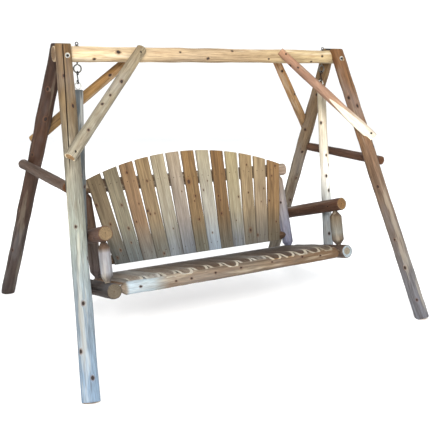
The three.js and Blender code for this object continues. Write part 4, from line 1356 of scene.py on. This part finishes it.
def hexagon(a, b, across, sides=72):
    """A hexagon head or nut between a and b, its corners turned off at both faces."""
    axis = Axis(a, b)
    h = axis.length
    th = circle(sides)
    flat = (across / 2) / np.cos((th + math.pi / 6) % (math.pi / 3) - math.pi / 6)
    heights = np.unique(np.concatenate([np.linspace(0, h, 5), np.linspace(0, h * 0.3, 6),
                                        h - np.linspace(0, h * 0.3, 6)]))
    rings = []
    for d in heights:
        chamfer = across / 2 * 0.96 + 1.9 * min(d, h - d)
        r = np.minimum(flat, chamfer)
        rings.append(np.stack([r * np.cos(th), r * np.sin(th), np.full(sides, float(d))], 1))
    faces = quads(len(heights), sides) + caps(len(heights), sides)
    return axis.out(np.concatenate(rings)), faces


def washer(a, b, inner, outer, sides=48):
    """A flat ring with turned edges."""
    h = float(np.linalg.norm(np.asarray(b, float) - a))
    e = min(0.6, h / 4)
    steps = [(0, inner + e), (0, outer - e), (e, outer), (h - e, outer), (h, outer - e), (h, inner + e),
             (h - e, inner), (e, inner)]
    return lathe(a, b, steps, sides, loop=True)


def thread(a, b, radius, pitch=1.75, depth=0.55, sides=28):
    """A threaded shank: the ridge winds round as it runs along."""
    axis = Axis(a, b)
    count = max(8, int(axis.length / pitch * 6))
    z = np.linspace(0, axis.length, count)[:, None]
    th = circle(sides)[None]
    phase = (z / pitch - th / (2 * math.pi)) % 1
    fade = np.clip(np.minimum(z, axis.length - z) / pitch, 0, 1)
    r = radius - depth * np.abs(phase * 2 - 1) * fade - (1 - fade) * depth
    p = np.stack([r * np.cos(th), r * np.sin(th), np.broadcast_to(z, r.shape)], 2).reshape(-1, 3)
    faces = quads(count, sides) + caps(count, sides)
    return axis.out(p), faces


def curve_through(points, per=10):
    """Points along a smooth curve through the given ones."""
    p = np.asarray(points, float)
    p = np.concatenate([2 * p[:1] - p[1:2], p, 2 * p[-1:] - p[-2:-1]])
    out = []
    for i in range(1, len(p) - 2):
        for t in np.linspace(0, 1, per, endpoint=False):
            a, b, c, d = p[i - 1:i + 3]
            out.append(0.5 * (2 * b + (c - a) * t + (2 * a - 5 * b + 4 * c - d) * t ** 2
                              + (3 * b - a - 3 * c + d) * t ** 3))
    return np.array(out + [p[-2]])


# Painted shade: ZINC, used on the eye bolts, has a darker base than ZINC_BRIGHT, for the shade they hang in
# under the beam.
ZINC = steel("zinc_steel", (118, 116, 108), rust=0.3, rough=(0.4, 0.6))
ZINC_BRIGHT = steel("zinc_bright", (214, 214, 208), rust=0.12, rough=(0.35, 0.55), spangle=0.3)
DARK_STEEL = steel("dark_steel", (62, 58, 54), rust=0.5, rough=(0.45, 0.7), spangle=0.3)
BLACK_STEEL = steel("black_steel", (26, 26, 28), rust=0.15, rough=(0.38, 0.6), spangle=0.2)
NAIL_STEEL = steel("nail_steel", (76, 62, 52), rust=0.7, rough=(0.5, 0.75), spangle=0.2)

Y_AXIS = vec(0, 1, 0)

for sx in (-1, 1):
    side = SIDE[sx]
    x = sx * PIVOT_X
    beam_top = BEAM["z"] + BEAM["r"]
    eye = Mesh()
    ring_z = EYE["z"] + EYE["ring"]
    turn = np.linspace(math.radians(96), math.radians(96 + 346), 64)
    ring = [vec(x + EYE["ring"] * math.cos(q), 0, ring_z + EYE["ring"] * math.sin(q)) for q in turn]
    eye.add(*tube(ring, blunt(ring, EYE["wire"]), 20))
    eye.add(*lathe(vec(x, 0, ring_z + EYE["ring"] - 1.5), vec(x, 0, BEAM["z"]),
                   [(0, 4.2), (5, 5), (12, 5), (80, 5)], 28))
    eye.add(*thread(vec(x, 0, BEAM["z"]), vec(x, 0, beam_top + 12), 5.1))
    eye.add(*washer(vec(x, 0, beam_top + 1), vec(x, 0, beam_top + 3.4), 5.4, 14))
    eye.add(*hexagon(vec(x, 0, beam_top + 3.5), vec(x, 0, beam_top + 9), 15))
    reach, rise = TOP_LOOP["ring"], beam_top + TOP_LOOP["rise"]
    turn = circle(48)
    loop = [vec(x + reach * math.cos(q), 0, rise + reach * math.sin(q)) for q in turn]
    eye.add(*tube(loop, TOP_LOOP["wire"], 18, closed=True), slots=1)
    obj = eye.make("steel_eye_bolt_" + side, [ZINC, DARK_STEEL])
    closed_shell(obj)
    settle(obj, BODY_FRAME, "zinc_steel", "eye_bolt_" + side)

    inner = HOOK["loop"] - HOOK["wire"]
    upper = EYE["z"] - (inner - EYE["wire"] - GAP)
    lower = SCREW_EYE["z"] + (inner - SCREW_EYE["wire"] - GAP)
    points = [vec(x, HOOK["loop"] * math.cos(math.radians(q)),
                  upper + HOOK["loop"] * math.sin(math.radians(q))) for q in np.linspace(235, 0, 11)]
    points += [vec(x, HOOK["loop"] * math.cos(math.radians(q)),
                   lower + HOOK["loop"] * math.sin(math.radians(q))) for q in np.linspace(180, 415, 11)]
    path = curve_through(points, 8)
    hook = Mesh().add(*tube(path, blunt(path, HOOK["wire"]), 20))
    obj = hook.make("steel_s_hook_" + side, [BLACK_STEEL])
    closed_shell(obj)
    settle(obj, side + "_hook", "black_steel", "s_hook_" + side)

    up = UP[sx]
    across = unit(np.cross(up, Y_AXIS)) * 1.0
    centre = PIVOT[sx] - up * SCREW_EYE["ring"]
    turn = np.linspace(math.radians(-90 + 6), math.radians(-90 + 348), 56)
    ring = [centre + SCREW_EYE["ring"] * (math.cos(q) * across + math.sin(q) * up) for q in turn]
    screw = Mesh().add(*tube(ring, blunt(ring, SCREW_EYE["wire"]), 18))
    neck = centre - up * (SCREW_EYE["ring"] - 1.0)
    end = centre - up * (SCREW_EYE["ring"] + SCREW_EYE["shank"])
    screw.add(*lathe(neck, end, [(0, 3.3), (4, 3.8), (22, 3.8)], 24))
    screw.add(*thread(neck - up * 21, end + up * 2, 3.9, pitch=2.6, depth=0.9))
    obj = screw.make("steel_screw_eye_" + side, [ZINC_BRIGHT])
    closed_shell(obj)
    settle(obj, BODY_BENCH, "zinc_steel", "screw_eye_" + side)

    place = lambda y: vec(sx * LEG_BOLT["x"], y, LEG_BOLT["z"])
    seat = LEG_BOLT["seat_y"]
    bolt = Mesh()
    for sy in (-1, 1):
        bolt.add(*washer(place(sy * seat), place(sy * (seat + 3.2)), 5.4, LEG_BOLT["washer_r"]), slots=0)
        bolt.add(*hexagon(place(sy * (seat + 3.3)), place(sy * (seat + 10)), 15), slots=1)
    bolt.add(*lathe(place(-seat - 4), place(60), [(0, 5), (seat + 60, 5)], 28), slots=1)
    bolt.add(*thread(place(58), place(seat + 14), 5.0), slots=1)
    obj = bolt.make("steel_leg_bolt_" + side, [ZINC_BRIGHT, DARK_STEEL])
    closed_shell(obj)
    settle(obj, BODY_FRAME, "zinc_steel", "leg_bolt_" + side)

lags = Mesh()
for sx, sy in CORNERS:
    outward = unit(vec(0, sy, 0.15))
    for place, r in lag_places(sx, sy):
        floor = place + outward * (r - LAG_DEPTH + 0.3)
        lags.add(*washer(floor, floor + outward * 1.6, 3.2, 7.4))
        lags.add(*hexagon(floor + outward * 1.7, floor + outward * 6.2, 10))
        lags.add(*thread(floor + outward * 1.8, floor - outward * 55, 3.1, pitch=2.4, depth=0.7, sides=16))
obj = lags.make("steel_lag_screws", [DARK_STEEL])
closed_shell(obj)
settle(obj, BODY_FRAME, "black_steel")


def nail(mesh, base, outward, head=3.2):
    """A nail driven home: a low domed head on a shank."""
    rise = [(0.0, head * 0.92), (0.25, head), (0.7, head * 0.86), (1.0, head * 0.6), (1.15, head * 0.25)]
    mesh.add(*lathe(base - outward * 0.1, base + outward * 1.2, rise, 14))
    mesh.add(*lathe(base - outward * 0.2, base - outward * 34, [(0, 1.4), (28, 1.4), (33.5, 0.3)], 8))


for row, u0 in (("upper", TOP_RAIL["u"]), ("lower", 160)):
    nails = Mesh()
    for i in range(BOARDS):
        k = i - (BOARDS - 1) / 2
        low, high = k * BOARD["pitch_low"], k * BOARD["pitch_top"]
        rng = rng_of("nails %s %d" % (row, i))
        for c in (-27, 24):
            share = (u0 - BOARD["bottom"]) / (arch(high) - BOARD["bottom"])
            x = low + share * (high - low) + c + rng.uniform(-4, 4)
            nail(nails, on_back(x, u0 + rng.uniform(-5, 5), BOARD["face"] - 0.1), BACK_W)
    obj = nails.make("steel_nails_back_" + row, [NAIL_STEEL])
    closed_shell(obj)
    settle(obj, BODY_BENCH, "black_steel")

for row, s0 in (("front", 22), ("rear", REAR_RAIL_S)):
    nails = Mesh()
    for i in range(SEAT_SLATS):
        x0 = (i - (SEAT_SLATS - 1) / 2) * SEAT_PITCH
        rng = rng_of("seat nails %s %d" % (row, i))
        level = (SLAT["top"] if row == "rear"
                 else SLAT["top"] - SLAT["nose_r"] + math.sqrt(SLAT["nose_r"] ** 2 - 28 ** 2))
        lean = vec(0, 0, 0) if row == "rear" else SEAT_S * -0.2
        for c in (-20, 20):
            at = on_seat(x0 + c + rng.uniform(-5, 5), s0 + rng.uniform(-3, 3), level - 0.6)
            nail(nails, at, unit(SEAT_N + lean), head=3.4)
    obj = nails.make("steel_nails_seat_" + row, [NAIL_STEEL])
    closed_shell(obj)
    settle(obj, BODY_BENCH, "black_steel")

# ---------------------------------------------------------------- floor, light and camera
s = Shader("studio_floor")
haze = s.noise(s.node("TexCoord", out=3), 1.4, 3)
floor_material = s.finish(colour=s.ramp(haze, [(0.3, (0.93, 0.93, 0.93)), (0.7, (0.96, 0.96, 0.96))]),
                          roughness=0.9)
FLOOR_REACH, WALL_BEND, WALL_TOP, FLOOR_SIDES = 9000, 3500, 9000, 96
profile = [(q, 0) for q in (600, 1500, 3000, 5000, 7000, FLOOR_REACH)]
profile += [(FLOOR_REACH + WALL_BEND * math.sin(q), WALL_BEND - WALL_BEND * math.cos(q))
            for q in np.linspace(0.08, math.pi / 2, 20)]
profile += [(FLOOR_REACH + WALL_BEND, WALL_TOP)]
sweep = Mesh()
turn = circle(FLOOR_SIDES)
points = [(r * math.cos(q), r * math.sin(q), h) for r, h in profile for q in turn]
faces = [tuple(range(FLOOR_SIDES))] + [face[::-1] for face in quads(len(profile), FLOOR_SIDES)]
sweep.add(np.array(points, float), faces)
floor = sweep.make("studio_floor", [floor_material])
floor.data.shade_smooth()
floor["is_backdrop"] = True

world = bpy.data.worlds.new("studio")
world.use_nodes = True
world.node_tree.nodes["Background"].inputs["Color"].default_value = (0.96, 0.98, 1.0, 1.0)
world.node_tree.nodes["Background"].inputs["Strength"].default_value = 0.86
bpy.context.scene.world = world
bpy.context.scene.view_settings.view_transform = "Standard"


def softbox(name, place, target, width, height, power, colour):
    data = bpy.data.lights.new(name, "AREA")
    data.shape, data.size, data.size_y = "RECTANGLE", width, height
    data.energy, data.color = power, colour
    lamp = bpy.data.objects.new(name, data)
    lamp.location = place
    lamp.rotation_mode = "QUATERNION"
    lamp.rotation_quaternion = (Vector(target) - Vector(place)).to_track_quat("-Z", "Y")
    bpy.context.scene.collection.objects.link(lamp)


softbox("key", (-3.2, -5.2, 4.6), (0, 0, 0.9), 2.6, 2.6, 760, (1.0, 0.98, 0.95))
softbox("rear", (2.4, 5.6, 4.2), (0, 0, 0.9), 3.0, 3.0, 260, (0.97, 0.98, 1.0))
softbox("fill", (4.6, -4.2, 3.2), (0, 0, 0.9), 3.0, 3.0, 60, (0.95, 0.98, 1.0))

CAMERA = dict(place=(-2.276, -3.992, 1.832), yaw=30.2, pitch=14.1, roll=1.1, focal=668, image=430,
              sensor=36)
yaw, pitch, roll = (math.radians(CAMERA[k]) for k in ("yaw", "pitch", "roll"))
forward = Vector((math.sin(yaw) * math.cos(pitch), math.cos(yaw) * math.cos(pitch), -math.sin(pitch)))
right = Vector((math.cos(yaw), -math.sin(yaw), 0))
above = right.cross(forward)
right, above = (math.cos(roll) * right + math.sin(roll) * above,
                math.cos(roll) * above - math.sin(roll) * right)
data = bpy.data.cameras.new("camera")
data.sensor_width = CAMERA["sensor"]
data.lens = CAMERA["focal"] / CAMERA["image"] * CAMERA["sensor"]
camera = bpy.data.objects.new("camera", data)
camera.matrix_world = Matrix.Translation(Vector(CAMERA["place"])) @ Matrix(
    [(right[i], above[i], -forward[i]) for i in range(3)]).to_4x4()
bpy.context.scene.collection.objects.link(camera)
bpy.context.scene.camera = camera

low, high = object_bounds()
